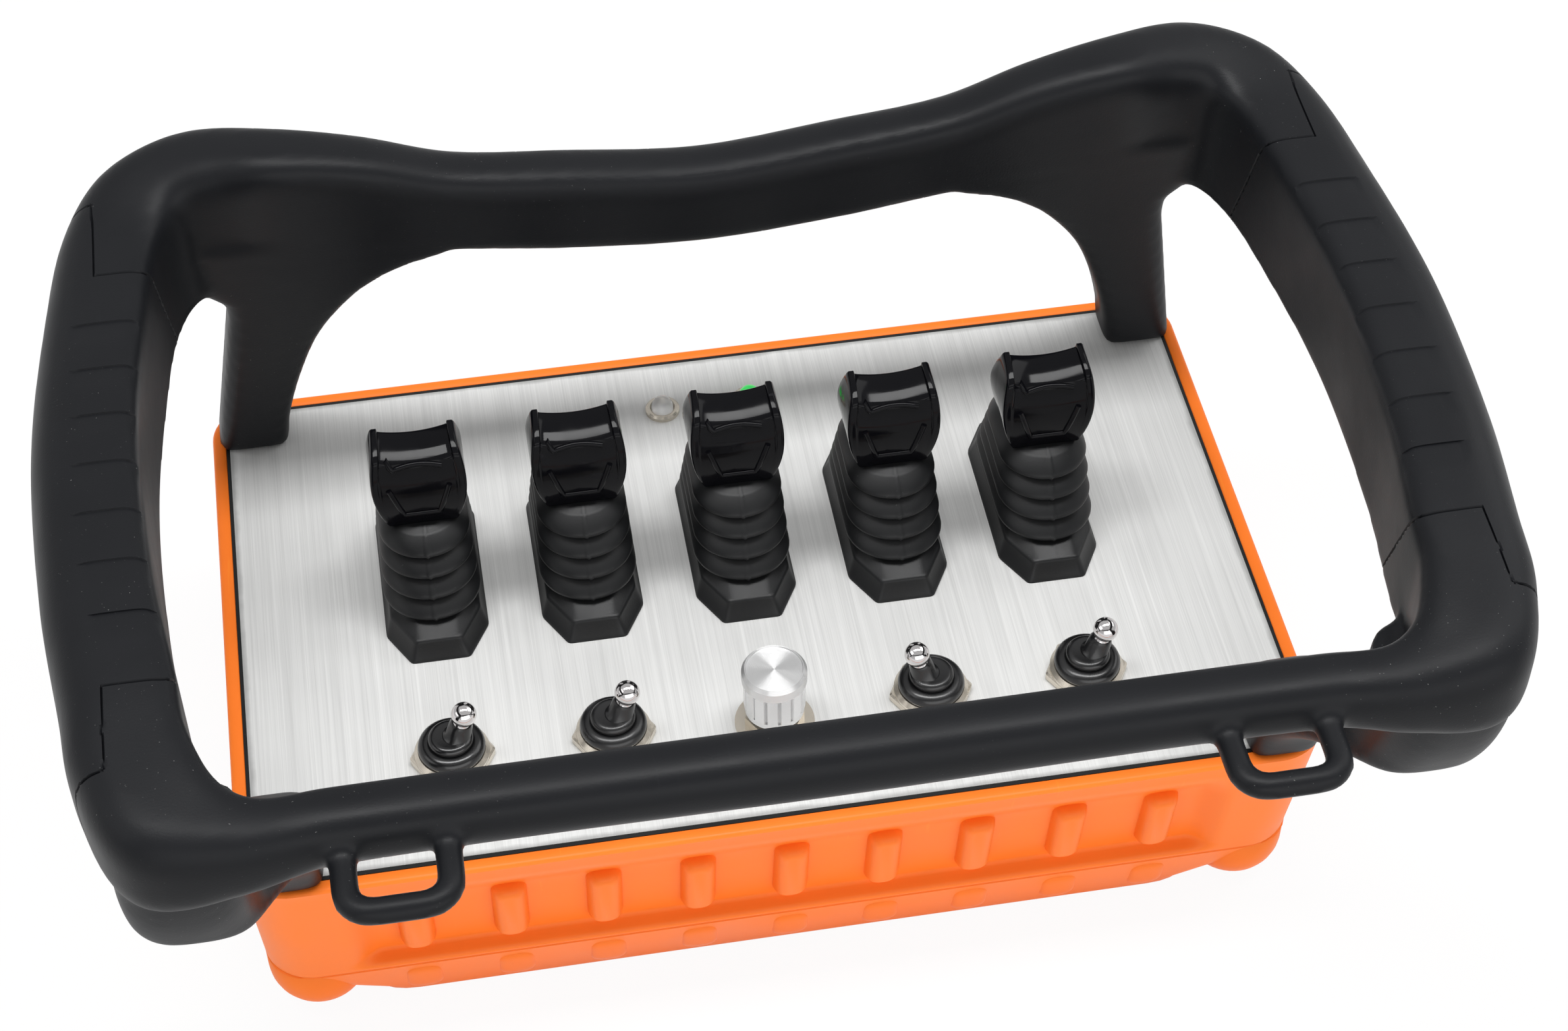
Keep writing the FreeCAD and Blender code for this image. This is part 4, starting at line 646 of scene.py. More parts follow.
@dataclass(frozen=True)
class BrushedPanel(MachinedMetal):
    """The control panel's stainless sheet with smeared sealant along its edges."""

    metal: float = 0.22
    half_width: float = 120.0
    half_depth: float = 74.0
    smear_reach: float = 1.1
    smear_scale: float = 90.0
    fine_lines: Place = (5200.0, 26.0, 26.0)
    broad_lines: Place = (900.0, 9.0, 9.0)
    mark_scale: float = 26.0
    sealant: Colour = (0.30, 0.30, 0.295)

    def dress(self, paint: Paint) -> None:
        """Set up brush lines, finger marks and edge smears.

        Args:
            paint: material to set up.
        """
        fine = paint.noise(1.0, 2.0, paint.stretched(self.fine_lines))
        broad = paint.noise(1.0, 3.0, paint.stretched(self.broad_lines))
        lines = paint.maths("ADD", paint.maths("MULTIPLY", fine, 0.6), paint.maths("MULTIPLY", broad, 0.4))
        marks = paint.noise(self.mark_scale, 5.0)
        tone = paint.maths("ADD", paint.maths("MULTIPLY", lines, 0.75), paint.maths("MULTIPLY", marks, 0.25))
        steel = paint.blend(paint.ramp(tone, 0.36, 0.64), self.shade(0.86), self.shade(1.08))
        gaps = []
        for name, half in (("X", self.half_width), ("Y", self.half_depth)):
            inward = paint.maths("SUBTRACT", paint.maths("ABSOLUTE", paint.axis(name), 0.0), half * METRES)
            gaps.append(paint.maths("MULTIPLY", inward, -1.0))
        edge = paint.maths("MINIMUM", gaps[0], gaps[1])
        ragged = paint.maths("MULTIPLY", paint.noise(self.smear_scale, 5.0),
                             2.0 * self.smear_reach * METRES)
        bare = paint.maths("SUBTRACT", edge, ragged)
        smear = paint.ramp(bare, -0.8 * METRES, 0.3 * METRES, 0.7, 0.0)
        rough = paint.ramp(tone, 0.35, 0.65, self.roughness - 0.05, self.roughness + 0.07)
        across = paint.tree.nodes.new("ShaderNodeCombineXYZ")
        across.inputs["X"].default_value = 1.0
        paint.set(Base_Color=paint.blend(smear, steel, self.sealant),
                  Metallic=paint.ramp(smear, 0.0, 0.6, self.metal, 0.2),
                  Roughness=paint.maths("MAXIMUM", rough, paint.maths("MULTIPLY", smear, 0.8)),
                  Anisotropic=0.6, Tangent=across.outputs[0],
                  Normal=paint.bump(lines, self.grain_depth, 0.5))


@dataclass(frozen=True)
class ClearPlastic(Finish):
    """See-through plastic, which may glow from a lamp behind it."""

    glow: float = 0.0
    through: float = 1.0
    wave_scale: float = 300.0
    refraction: float = 1.49

    def dress(self, paint: Paint) -> None:
        """Set up a clear body with slight waviness.

        Args:
            paint: material to set up.
        """
        waves = paint.noise(self.wave_scale)
        paint.set(Base_Color=paint.blend(waves, self.shade(0.95), self.shade(1.05)), IOR=self.refraction,
                  Transmission_Weight=self.through, Normal=paint.bump(waves, 0.02, 0.3),
                  Roughness=paint.ramp(waves, 0.3, 0.7, self.roughness, self.roughness + 0.05))
        if self.glow:
            paint.set(Emission_Color=self.colour, Emission_Strength=self.glow)


HOUSING_ORANGE = MouldedPlastic("housing_orange", "orange_housing", (0.95, 0.195, 0.020), 0.45,
                                texture=0.02, dust=0.12, scuff=0.08, specular=0.2)
FRAME_BLACK = MouldedPlastic("frame_black", "black_frame", (0.0072, 0.0077, 0.0092), 0.44,
                             texture=0.04, dust=0.5, scuff=0.1, specular=0.14)
BOOT_BLACK = MouldedPlastic("boot_black", "boot_rubber", (0.0065, 0.0068, 0.0074), 0.42,
                            texture=0.03, dust=0.2, specular=0.26)
HALF_BOOT = MouldedPlastic("half_boot_rubber", "boot_rubber", (0.006, 0.006, 0.0065), 0.26,
                           texture=0.015, dust=0.25)
KNOB_BLACK = GlossPlastic("knob_black", "gloss_knob", (0.003, 0.003, 0.004), 0.10, coat=0.0, specular=0.11)
PANEL_STEEL = BrushedPanel("panel_steel", "steel_panel", (0.70, 0.70, 0.69), 0.56)
WARM_NICKEL = MachinedMetal("warm_nickel", "bright_nickel", (0.60, 0.55, 0.47), 0.24, metal=0.75)
BALL_CHROME = MachinedMetal("ball_chrome", "bright_chrome", (0.62, 0.60, 0.60), 0.07)
KNOB_BARREL = MachinedMetal("knob_barrel", "clear_barrel", (0.64, 0.64, 0.64), 0.18, metal=0.7)
KNOB_DISC = MachinedMetal("knob_disc", "spun_cap", (0.64, 0.64, 0.64), 0.32, metal=0.75,
                          grain=Grain.ROUND, centre=(0.0, -0.048, 0.0))
LENS_CLEAR = ClearPlastic("lens_clear", "clear_lens", (0.94, 0.94, 0.94), 0.10, through=0.5)
LENS_GREEN = ClearPlastic("lens_green", "green_lens", (0.03, 0.62, 0.12), 0.12, glow=0.55, through=0.5)
PLATED_STEEL = MachinedMetal("screw_steel", "plated_steel", (0.55, 0.54, 0.52), 0.30)
SWITCH_CASE = MouldedPlastic("switch_case_plastic", "switch_case", (0.02, 0.02, 0.022), 0.5)
BOARD_GREEN = MouldedPlastic("board_green", "board_laminate", (0.01, 0.10, 0.03), 0.35)
RADIO_TIN = MachinedMetal("radio_tin", "radio_can", (0.6, 0.6, 0.58), 0.32)
BATTERY_BLUE = MouldedPlastic("battery_blue", "battery_wrap", (0.02, 0.06, 0.20), 0.35)


def dress_solid(names: Sequence[str], finish: Finish) -> None:
    """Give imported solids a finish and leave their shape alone.

    Args:
        names: nodes of the solids.
        finish: what they wear.
    """
    for name in names:
        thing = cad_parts[name]
        thing.data.materials.clear()
        thing.data.materials.append(finish.material())


def add_piece(thing: Thing, finish: Finish, nodes: Sequence[str],
              body: str | None = "housing", crease: float = 35.0) -> None:
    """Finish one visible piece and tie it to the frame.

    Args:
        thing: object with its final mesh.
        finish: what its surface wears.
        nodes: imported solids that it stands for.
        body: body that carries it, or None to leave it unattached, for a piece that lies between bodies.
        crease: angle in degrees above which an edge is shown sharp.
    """
    mesh = thing.data
    mesh.materials.clear()
    mesh.materials.append(finish.material())
    mesh.shade_smooth()
    mesh.set_sharp_from_angle(angle=math.radians(crease))
    if body is not None:
        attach(thing, body)
    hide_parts(*nodes)
    LOG.info("%s: %d faces", thing.name, len(mesh.polygons))


def add_shape(name: str, shape: Shape, finish: Finish, nodes: Sequence[str],
              body: str | None = "housing", crease: float = 35.0) -> Thing:
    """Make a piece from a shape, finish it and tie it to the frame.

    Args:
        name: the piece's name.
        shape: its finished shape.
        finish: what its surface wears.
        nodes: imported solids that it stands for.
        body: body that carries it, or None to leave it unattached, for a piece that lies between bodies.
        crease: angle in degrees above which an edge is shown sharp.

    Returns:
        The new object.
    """
    thing = add_object(name, shape.mesh(name))
    add_piece(thing, finish, nodes, body, crease)
    return thing


# Repeating patterns


class Pattern:
    """A Geometry Nodes tree with named inputs."""

    def __init__(self, name: str) -> None:
        """Start a tree that takes and gives one geometry.

        Args:
            name: the tree's name.
        """
        self.tree = bpy.data.node_groups.new(name, "GeometryNodeTree")
        self.tree.interface.new_socket(name="Geometry", in_out="INPUT", socket_type="NodeSocketGeometry")
        self.tree.interface.new_socket(name="Geometry", in_out="OUTPUT", socket_type="NodeSocketGeometry")
        self.values: dict[str, object] = {}
        self.start = self.tree.nodes.new("NodeGroupInput")
        self.end = self.tree.nodes.new("NodeGroupOutput")

    def value(self, name: str, kind: str, value: object) -> Socket:
        """Add a named input and return its socket inside the tree.

        Args:
            name: the input's name.
            kind: socket type without its prefix.
            value: what the modifier sets.

        Returns:
            The socket.
        """
        socket = self.tree.interface.new_socket(name=name, in_out="INPUT", socket_type="NodeSocket" + kind)
        self.values[socket.identifier] = value
        return self.start.outputs[name]

    def node(self, kind: str, operation: str | None = None, **inputs: object) -> bpy.types.Node:
        """Add a node and feed its inputs; an underscore in a name stands for a space.

        Args:
            kind: node type without its family prefix.
            operation: the node's operation, where it has one.
            inputs: sockets to link, or plain values, by input name or as in0, in1, in2.

        Returns:
            The new node.
        """
        shared = ("Math", "VectorMath", "CombineXYZ", "SeparateXYZ")
        node = self.tree.nodes.new(("ShaderNode" if kind in shared else "GeometryNode") + kind)
        if operation is not None:
            node.operation = operation
        for name, value in inputs.items():
            spot = int(name[2:]) if name.startswith("in") and name[2:].isdigit() else name.replace("_", " ")
            if isinstance(value, Socket):
                self.tree.links.new(value, node.inputs[spot])
            else:
                node.inputs[spot].default_value = value
        return node

    def maths(self, operation: str, first: object, second: object = 0.0) -> Socket:
        """Return one arithmetic step on two values."""
        return self.node("Math", operation, in0=first, in1=second).outputs[0]

    def close(self, geometry: Socket, finish: Finish) -> None:
        """End the tree in real geometry that wears a finish.

        Args:
            geometry: what the tree has made.
            finish: what it wears.
        """
        real = self.node("RealizeInstances", Geometry=geometry)
        dressed = self.node("SetMaterial", Geometry=real.outputs[0], Material=finish.material())
        self.tree.links.new(dressed.outputs[0], self.end.inputs[0])

    def apply(self, thing: Thing) -> Thing:
        """Run the tree on an object and keep the mesh that it makes.

        Args:
            thing: object to run on.

        Returns:
            The object with its new mesh.
        """
        modifier = thing.modifiers.new(self.tree.name, "NODES")
        modifier.node_group = self.tree
        for identifier, value in self.values.items():
            modifier[identifier] = value
        return baked(thing)

    def repeat(self, thing: Thing, points: bpy.types.Node, finish: Finish,
               **inputs: object) -> Thing:
        """Put a copy of an object's mesh at each point that a node gives.

        Args:
            thing: object whose mesh is repeated.
            points: node whose first output holds the points.
            finish: what the copies wear.
            inputs: more inputs of the copies, such as their rotation.

        Returns:
            The object with all the copies as its mesh.
        """
        copies = self.node("InstanceOnPoints", Points=points.outputs[0],
                           Instance=self.start.outputs[0], **inputs)
        self.close(copies.outputs[0], finish)
        return self.apply(thing)


def repeat_in_row(thing: Thing, count: int, step: Place, finish: Finish) -> Thing:
    """Repeat an object's mesh in a straight row, with steps in millimetres.

    Args:
        thing: object whose mesh is repeated.
        count: number of copies.
        step: way from one copy to the next.
        finish: what the copies wear.

    Returns:
        The object with all the copies as its mesh.
    """
    pattern = Pattern(thing.name + "_row")
    number = pattern.value("Count", "Int", count)
    stride = pattern.value("Step", "Vector", tuple(METRES * part for part in step))
    return pattern.repeat(thing, pattern.node("MeshLine", Count=number, Offset=stride), finish)


def repeat_in_circle(thing: Thing, count: int, finish: Finish) -> Thing:
    """Repeat an object's mesh about the Z axis.

    Args:
        thing: object whose mesh is repeated.
        count: number of copies.
        finish: what the copies wear.

    Returns:
        The object with all the copies as its mesh.
    """
    pattern = Pattern(thing.name + "_circle")
    number = pattern.value("Count", "Int", count)
    line = pattern.node("MeshLine", Count=number, Offset=(0.0, 0.0, 0.0))
    index = pattern.node("InputIndex").outputs[0]
    angle = pattern.maths("MULTIPLY", index, pattern.maths("DIVIDE", 2 * math.pi, number))
    turn = pattern.node("CombineXYZ", Z=angle)
    return pattern.repeat(thing, line, finish, Rotation=turn.outputs[0])


def repeat_at_corners(thing: Thing, half_x: float, half_y: float,
                      finish: Finish) -> Thing:
    """Repeat an object's mesh at the four corners of a rectangle about the origin.

    Args:
        thing: object whose mesh is repeated.
        half_x: half the rectangle's width.
        half_y: half its depth.
        finish: what the copies wear.

    Returns:
        The object with all the copies as its mesh.
    """
    pattern = Pattern(thing.name + "_corners")
    wide = pattern.value("Width", "Float", 2 * half_x * METRES)
    deep = pattern.value("Depth", "Float", 2 * half_y * METRES)
    grid = pattern.node("MeshGrid", Size_X=wide, Size_Y=deep, Vertices_X=2, Vertices_Y=2)
    return pattern.repeat(thing, grid, finish)


def press_grooves(thing: Thing, grip: "GuardFrame", side: Side) -> None:
    """Press the row of shallow finger grooves into the top of one grip.

    Args:
        thing: the grip's moulding.
        grip: frame with the grooves' sizes.
        side: which grip it is.
    """
    pattern = Pattern(thing.name + "_grooves")
    sizes = (("First", grip.groove_first), ("Pitch", grip.groove_pitch), ("Length", grip.groove_length),
             ("Depth", grip.groove_depth), ("Inner", grip.groove_inner), ("Outer", grip.groove_outer))
    first, pitch, length, depth, inner, outer = (pattern.value(name, "Float", size * METRES)
                                                 for name, size in sizes)
    count = pattern.value("Count", "Int", grip.groove_count)
    place = pattern.node("SeparateXYZ", Vector=pattern.node("InputPosition").outputs[0])
    bow = pattern.value("Bow", "Float", grip.groove_bow / METRES)
    middle = pattern.maths("SUBTRACT", place.outputs["Y"], grip.groove_middle * METRES)
    bowed = pattern.maths("MULTIPLY", pattern.maths("MULTIPLY", middle, middle), bow)
    across = pattern.maths("ADD", pattern.maths("MULTIPLY", place.outputs["X"], float(side.value)), bowed)
    behind = pattern.maths("SUBTRACT", first, place.outputs["Y"])
    steps = pattern.maths("FLOOR", pattern.maths("DIVIDE", behind, pitch))
    run = pattern.maths("SUBTRACT", behind, pattern.maths("MULTIPLY", steps, pitch))
    fade = pattern.maths("SUBTRACT", 1.0, pattern.maths("DIVIDE", run, length))
    inside = pattern.maths("GREATER_THAN", fade, 0.0)
    for test in (pattern.maths("GREATER_THAN", across, inner), pattern.maths("LESS_THAN", across, outer),
                 pattern.maths("GREATER_THAN", steps, -0.5), pattern.maths("LESS_THAN", steps, count),
                 pattern.maths("GREATER_THAN", place.outputs["Z"],
                               (PANEL_TOP + grip.high - grip.groove_reach) * METRES)):
        inside = pattern.maths("MULTIPLY", inside, test)
    sink = pattern.maths("MULTIPLY", pattern.maths("MULTIPLY", fade, inside), depth)
    normal = pattern.node("InputNormal").outputs[0]
    offset = pattern.node("VectorMath", "SCALE", in0=normal, Scale=pattern.maths("MULTIPLY", sink, -1.0))
    moved = pattern.node("SetPosition", Geometry=pattern.start.outputs[0], Offset=offset.outputs[0])
    pattern.close(moved.outputs[0], FRAME_BLACK)
    pattern.apply(thing)


# Guard frame


@dataclass
class GuardFrame:
    """The black guard frame: ring, rear posts, front legs and strap loops in four mouldings.

    Heights are measured from the panel's top.
    """

    low: float = 61.5
    high: float = 95.5
    grip_width: float = 23.5
    grip_reach: float = 141.3
    inner_round: float = 4.5
    outer_round: float = 11.5
    web_front: float = 60.8
    web_lean: float = 0.193
    web_depth: float = 15.5
    web_round: float = 4.0
    rear_low: float = 61.6
    rear_high: float = 86.1
    hump_high: float = 105.4
    hump_reach: float = 97.0
    arch_half: float = 57.5
    arch_high: float = 68.5
    post_inner: float = 105.0
    post_outer: float = 122.4
    post_waist: float = 113.6
    post_flare: float = 5.0
    bar_reach: float = 124.2
    bar_height: float = 81.0
    bar_diameter: float = 14.2
    corner_x: float = 127.0
    corner_y: float = 122.0
    corner_width: float = 24.0
    foot_x: float = 113.0
    foot_y: float = 68.8
    foot_half: float = 8.2
    foot_depth: float = 17.4
    foot_round: float = 4.5
    bulge_x: float = 128.0
    bulge_y: float = 106.5
    bulge_radius: float = 13.0
    bulge_low: float = 36.0
    bulge_corner: float = 10.5
    seam_step: float = 138.0
    seam_rear_outer: float = 47.0
    seam_rear_inner: float = 24.0
    seam_front_outer: float = -113.0
    seam_front_inner: float = -94.0
    seam_rear_lean: float = 0.34
    seam_front_lean: float = 0.44
    seam_width: float = 0.45
    seam_depth: float = 0.55
    loop_inner: float = 76.0
    loop_outer: float = 96.0
    loop_reach: float = 144.6
    loop_height: float = 80.0
    loop_bar: float = 5.7
    loop_bend: float = 5.0
    groove_first: float = 8.9
    groove_pitch: float = 14.05
    groove_length: float = 6.5
    groove_depth: float = 0.38
    groove_count: int = 7
    groove_inner: float = 130.0
    groove_outer: float = 143.4
    groove_bow: float = 0.0012
    groove_middle: float = -20.0
    groove_reach: float = 2.0
    groove_edge: float = 0.15
    rear_rounds: Point = (8.0, 6.5)
    hump_rounds: Point = (11.0, 9.0)
    round_limit: float = 0.499
    crisp_share: float = 0.45
    crisp_from: float = -100.0
    crisp_to: float = -118.0
    waist_share: float = 0.75
    flare_from: float = -7.0
    flare_to: float = 2.0
    grip_margin: float = 3.0
    ring_gap: float = 2.0
    leg_gap: float = 1.5
    skin: float = 1.1
    passes: int = 9

    def stations(self) -> list[list[float]]:
        """Return the right half of the ring from the rear middle to the front middle.

        Returns:
            Rows of x, y, outward angle, width, low, high, lean, inner and outer rounding.
        """
        front, lean, deep = self.web_front, self.web_lean, self.web_depth
        reach, wide = self.grip_reach, self.grip_width
        low, high, hump, bar = self.low, self.high, self.hump_high, self.bar_diameter
        soft, round_ = self.inner_round, self.outer_round
        bar_low, bar_high = self.bar_height - bar / 2, self.bar_height + bar / 2

        def rear(x: float, angle: float, width: float, bottom: float, top: float) -> list[float]:
            """Return a row whose front face lies on the leaning plane of the rear handle."""
            middle = front - lean * (bottom + top) / 2 + width / 2
            return [x, middle, angle, width, bottom, top, lean, *self.rear_rounds]

        def bend(inset: float, back: float, angle: float, width: float, rise: float,
                 drop: float) -> list[float]:
            """Return a row of the rear bend, which falls from the hump to the grip.

            Args:
                inset: way in from the grip, in grip widths.
                back: way from the handle's front face, in grip widths.
                angle: outward angle.
                width: width in grip widths.
                rise: share of the underside's climb to the arch.
                drop: share of the top's climb to the hump.

            Returns:
                The row.
            """
            inner, outer = self.hump_rounds
            return [reach - inset * wide, front - back * wide, angle, width * wide,
                    mix(low, self.arch_high, rise), mix(high, hump, drop), drop * lean,
                    mix(soft, inner, drop), mix(round_, outer, drop)]

        def corner(x: float, y: float, angle: float, width: float, share: float) -> list[float]:
            """Return a row of the front corner, which falls from the grip to the bar."""
            return [x, -y, angle, width, mix(low, bar_low, share), mix(high, bar_high, share), 0.0,
                    mix(soft, bar / 2, share), mix(round_, bar / 2, share)]

        return [
            rear(0.0, 90, deep, self.rear_low, self.rear_high),
            rear(0.56 * self.arch_half, 90, deep, mix(self.rear_low, self.arch_high, 0.4),
                 mix(self.rear_high, hump, 0.2)),
            rear(self.arch_half, 90, deep, self.arch_high, mix(self.rear_high, hump, 0.4)),
            rear(0.8 * self.hump_reach, 91, 1.06 * deep, 1.03 * self.arch_high,
                 mix(self.rear_high, hump, 0.8)),
            rear(self.hump_reach, 88, 1.2 * deep, self.arch_high, hump),
            bend(1.16, 0.16, 68, 1.0, 0.4, 0.8),
            bend(0.59, 0.33, 40, 1.02, 0.15, 0.4),
            bend(0.29, 0.84, 18, 1.01, 0.05, 0.1),
            [reach - 0.14 * wide, self.seam_rear_inner - 0.09 * wide, 9, wide, low, high, 0.0, soft, round_],
            [reach, -0.16 * self.bar_reach, 0, wide, low, high, 0.0, soft, round_],
            corner(reach - 0.07 * wide, 0.5 * self.bar_reach, -5, wide, 0.0),
            corner(reach - 0.23 * wide, 0.74 * self.bar_reach, -10, mix(wide, self.corner_width, 0.8), 0.06),
            corner(mix(reach, self.corner_x, 0.5), mix(0.74 * self.bar_reach, self.corner_y, 0.47), -18,
                   self.corner_width, 0.2),
            corner(self.corner_x, self.corner_y, -45, self.corner_width, 0.42),
            corner(self.corner_x - 0.95 * bar, self.bar_reach + 0.13 * bar, -75, 1.1 * bar, 0.78),
            corner(self.corner_x - 2.05 * bar, self.bar_reach, -90, bar, 1.0),
            corner(0.0, self.bar_reach, -90, bar, 1.0),
        ]

    def ring(self) -> Shape:
        """Return the closed ring, skinned through smooth stations.

        Returns:
            The ring.
        """
        right = self.stations()
        left = [[-row[0], row[1], -180 - row[2], *row[3:]] for row in right]
        before = [-right[1][0], right[1][1], 180 - right[1][2], *right[1][3:]]
        end = [right[0][0], right[0][1], right[0][2] - 360, *right[0][3:]]
        after = [right[1][0], right[1][1], right[1][2] - 360, *right[1][3:]]
        rows = smooth_rows([before, *right, *left[-2:0:-1], end, after], self.ring_gap)[:-1]
        return Shape().loft([self.section(row) for row in rows], closed=True)

    def section(self, row: Sequence[float]) -> Ring:
        """Return the ring's rounded cross-section at one station row.

        Args:
            row: one station row.

        Returns:
            The cross-section.
        """
        x, y, angle, width, low, high, lean, inner, outer = row
        out = Vector((math.cos(math.radians(angle)), math.sin(math.radians(angle)), 0.0))
        limit = self.round_limit * min(width, high - low)
        crisp = mix(self.crisp_share * inner, inner, ease(y, self.crisp_from, self.crisp_to))
        rounds = [min(size, limit) for size in (crisp, outer, outer, inner)]
        corners = rectangle(-width / 2, width / 2, low, high)
        middle = (low + high) / 2
        return [Vector((x, y - lean * (z - middle), PANEL_TOP + z)) + out * reach
                for reach, z in rounded_polygon(corners, rounds, 6)]

    def post(self, side: Side) -> Shape:
        """Return one leaning rear post whose inner face follows the arch.

        Args:
            side: which side it is on.

        Returns:
            The post.
        """
        arch = ((-0.1, 1.02), (0.0, 1.0), (0.15, 0.97), (0.4, 0.87), (0.64, 0.73), (0.83, 0.53), (0.92, 0.37),
                (0.97, 0.23), (1.0, 0.08), (1.03, 0.0), (1.15, -0.05), (1.3, -0.1))
        rings = []
        rows = smooth_rows([(self.arch_high * share, 0.0, reach) for share, reach in arch], self.ring_gap)
        for height, _, reach in rows:
            near = mix(self.arch_half, self.post_inner, reach)
            taper = height / self.arch_high / self.waist_share
            far = max(self.post_waist, mix(self.post_outer, self.post_waist, taper))
            flare = ease(height, self.low + self.flare_from, self.low + self.flare_to)
            far += self.post_flare * flare ** 2
            points = rounded_polygon(rectangle(near, far, 0.0, self.web_depth), [self.web_round] * 4, 5)
            front = self.web_front - self.web_lean * height
            rings.append([Vector((side.value * x, front + y, PANEL_TOP + height)) for x, y in points])
        return Shape().loft(rings)

    def leg(self, side: Side) -> Shape:
        """Return one front leg from its foot on the panel out to the bulge and up into the ring.

        Args:
            side: which side it is on.

        Returns:
            The leg.
        """
        course = ((-0.2, 0.0, -0.07, 0.0), (0.0, 0.0, 0.0, 0.0), (0.38, 0.02, 0.14, 0.02),
                  (0.78, 0.3, 0.46, 0.4), (1.0, 0.62, 0.74, 0.68), (1.14, 0.9, 0.95, 0.88),
                  (1.27, 1.0, 1.02, 0.97), (1.58, 1.02, 1.12, 1.05), (1.9, 1.0, 1.18, 1.12),
                  (2.2, 0.98, 1.2, 1.2))
        keys = []
        half = self.foot_depth / 2
        for rise, out, ahead, behind in course:
            keys.append((rise * self.bulge_low, 0.0, mix(self.foot_x, self.bulge_x, out),
                         mix(self.foot_half, self.bulge_radius, out),
                         mix(self.foot_y + half, self.bulge_y + self.bulge_radius, ahead),
                         mix(self.foot_y - half, self.bulge_y - self.bulge_radius, behind),
                         mix(self.foot_round, self.bulge_corner, out)))
        rings = []
        for height, _, x, wide, front, rear, corner in smooth_rows(keys, self.leg_gap):
            points = rounded_polygon(rectangle(-wide, wide, -front, -rear), [corner] * 4, 6)
            rings.append(level_ring(points, side.value * x, 0.0, PANEL_TOP + height))
        return Shape().loft(rings)

    def loop(self, side: Side) -> Shape:
        """Return one strap loop, a bent round bar on the front of the ring.

        Args:
            side: which side it is on.

        Returns:
            The loop.
        """
        path = [(self.loop_inner, -self.bar_reach, 0.0)]
        for centre, first in ((self.loop_inner + self.loop_bend, 0), (self.loop_outer - self.loop_bend, 90)):
            for step in range(7):
                angle = math.radians(first + 90 * step / 6)
                path.append((centre - self.loop_bend * math.cos(angle),
                             self.loop_bend - self.loop_reach - self.loop_bend * math.sin(angle), angle))
        path.append((self.loop_outer, -self.bar_reach, math.pi))
        rings = []
        for x, y, angle in path:
            out = Vector((-side.value * math.cos(angle), -math.sin(angle), 0.0))
            centre = Vector((side.value * x, y, PANEL_TOP + self.loop_height))
            rings.append([centre + out * u + Vector((0.0, 0.0, v)) for u, v in circle(self.loop_bar / 2, 20)])
        return Shape().loft(rings)

    def cut_seams(self, data: bmesh.types.BMesh) -> None:
        """Cut mesh edges along the seams, at each side of them and at the groove edges.

        Args:
            data: the whole frame in metres.
        """
        cuts = [(Vector((1.0, 0.0, 0.0)), sign * self.seam_step, self.seam_width) for sign in (-1, 1)]
        for y, lean in ((self.seam_rear_outer, 0.0), (self.seam_rear_inner, self.seam_rear_lean),
                        (self.seam_front_inner, self.seam_front_lean), (self.seam_front_outer, 0.0)):
            cuts.append((Vector((0.0, 1.0, lean)), y, self.seam_width))
        for index in range(self.groove_count):
            cuts.append((Vector((0.0, 1.0, 0.0)), self.groove_first - index * self.groove_pitch,
                         self.groove_edge))
        top = Vector((0.0, 0.0, (PANEL_TOP + self.high) * METRES))
        for normal, value, width in cuts:
            for shift in (-1, 0, 1):
                flat = Vector((normal.x, normal.y, 0.0))
                geometry = data.verts[:] + data.edges[:] + data.faces[:]
                bmesh.ops.bisect_plane(data, geom=geometry, dist=1e-6, plane_no=normal,
                                       plane_co=top + flat * (value + shift * width) * METRES)

    def owner(self, place: Vector) -> str:
        """Return the moulding that a point of the frame belongs to.

        Args:
            place: a point in metres.

        Returns:
            The moulding's name.
        """
        x, y = place.x / METRES, place.y / METRES
        drop = PANEL_TOP + self.high - place.z / METRES
        rear, front = self.seam_rear_outer, self.seam_front_outer
        if abs(x) < self.seam_step:
            rear = self.seam_rear_inner + self.seam_rear_lean * drop
            front = self.seam_front_inner + self.seam_front_lean * drop
        if y > rear:
            return "rear_handle"
        if y < front or abs(x) < self.grip_reach / 2 or drop > self.high - self.low + self.grip_margin:
            return "front_bar"
        return "left_grip" if x < 0 else "right_grip"

    def build(self) -> None:
        """Build the four mouldings."""
        whole = self.ring()
        for side in Side:
            for shape in (self.post(side), self.leg(side), self.loop(side)):
                whole.add(shape)
        thing = as_moulding(add_object("guard_frame", whole.mesh("guard_frame")), self.skin, self.passes)
        data = bmesh.new()
        data.from_mesh(thing.data)
        self.cut_seams(data)
        owners = [self.owner(face.calc_center_median()) for face in data.faces]
        for label in ("rear_handle", "front_bar", "left_grip", "right_grip"):
            self.add_moulding(data, owners, label)
        data.free()
        bpy.data.objects.remove(thing)

    def add_moulding(self, data: bmesh.types.BMesh, owners: Sequence[str], label: str) -> None:
        """Take one moulding out of the whole frame and round its seam edges.

        Args:
            data: the whole frame with its seams cut.
            owners: the moulding of each face.
            label: name of the moulding to keep.
        """
        part = data.copy()
        part.faces.ensure_lookup_table()
        spare = [part.faces[index] for index, owner in enumerate(owners) if owner != label]
        bmesh.ops.delete(part, geom=spare, context="FACES")
        part.normal_update()
        rims = {vert for edge in part.edges if edge.is_boundary for vert in edge.verts}
        for vert in rims:
            vert.co -= vert.normal * self.seam_depth * METRES
        bmesh.ops.holes_fill(part, edges=[edge for edge in part.edges if edge.is_boundary], sides=0)
        mesh = bpy.data.meshes.new(label)
        part.to_mesh(mesh)
        part.free()
        thing = add_object(label + "_moulding", mesh)
        if label.endswith("grip"):
            press_grooves(thing, self, Side.LEFT if label.startswith("left") else Side.RIGHT)
        add_piece(thing, FRAME_BLACK, [label], crease=40.0)


# Housing


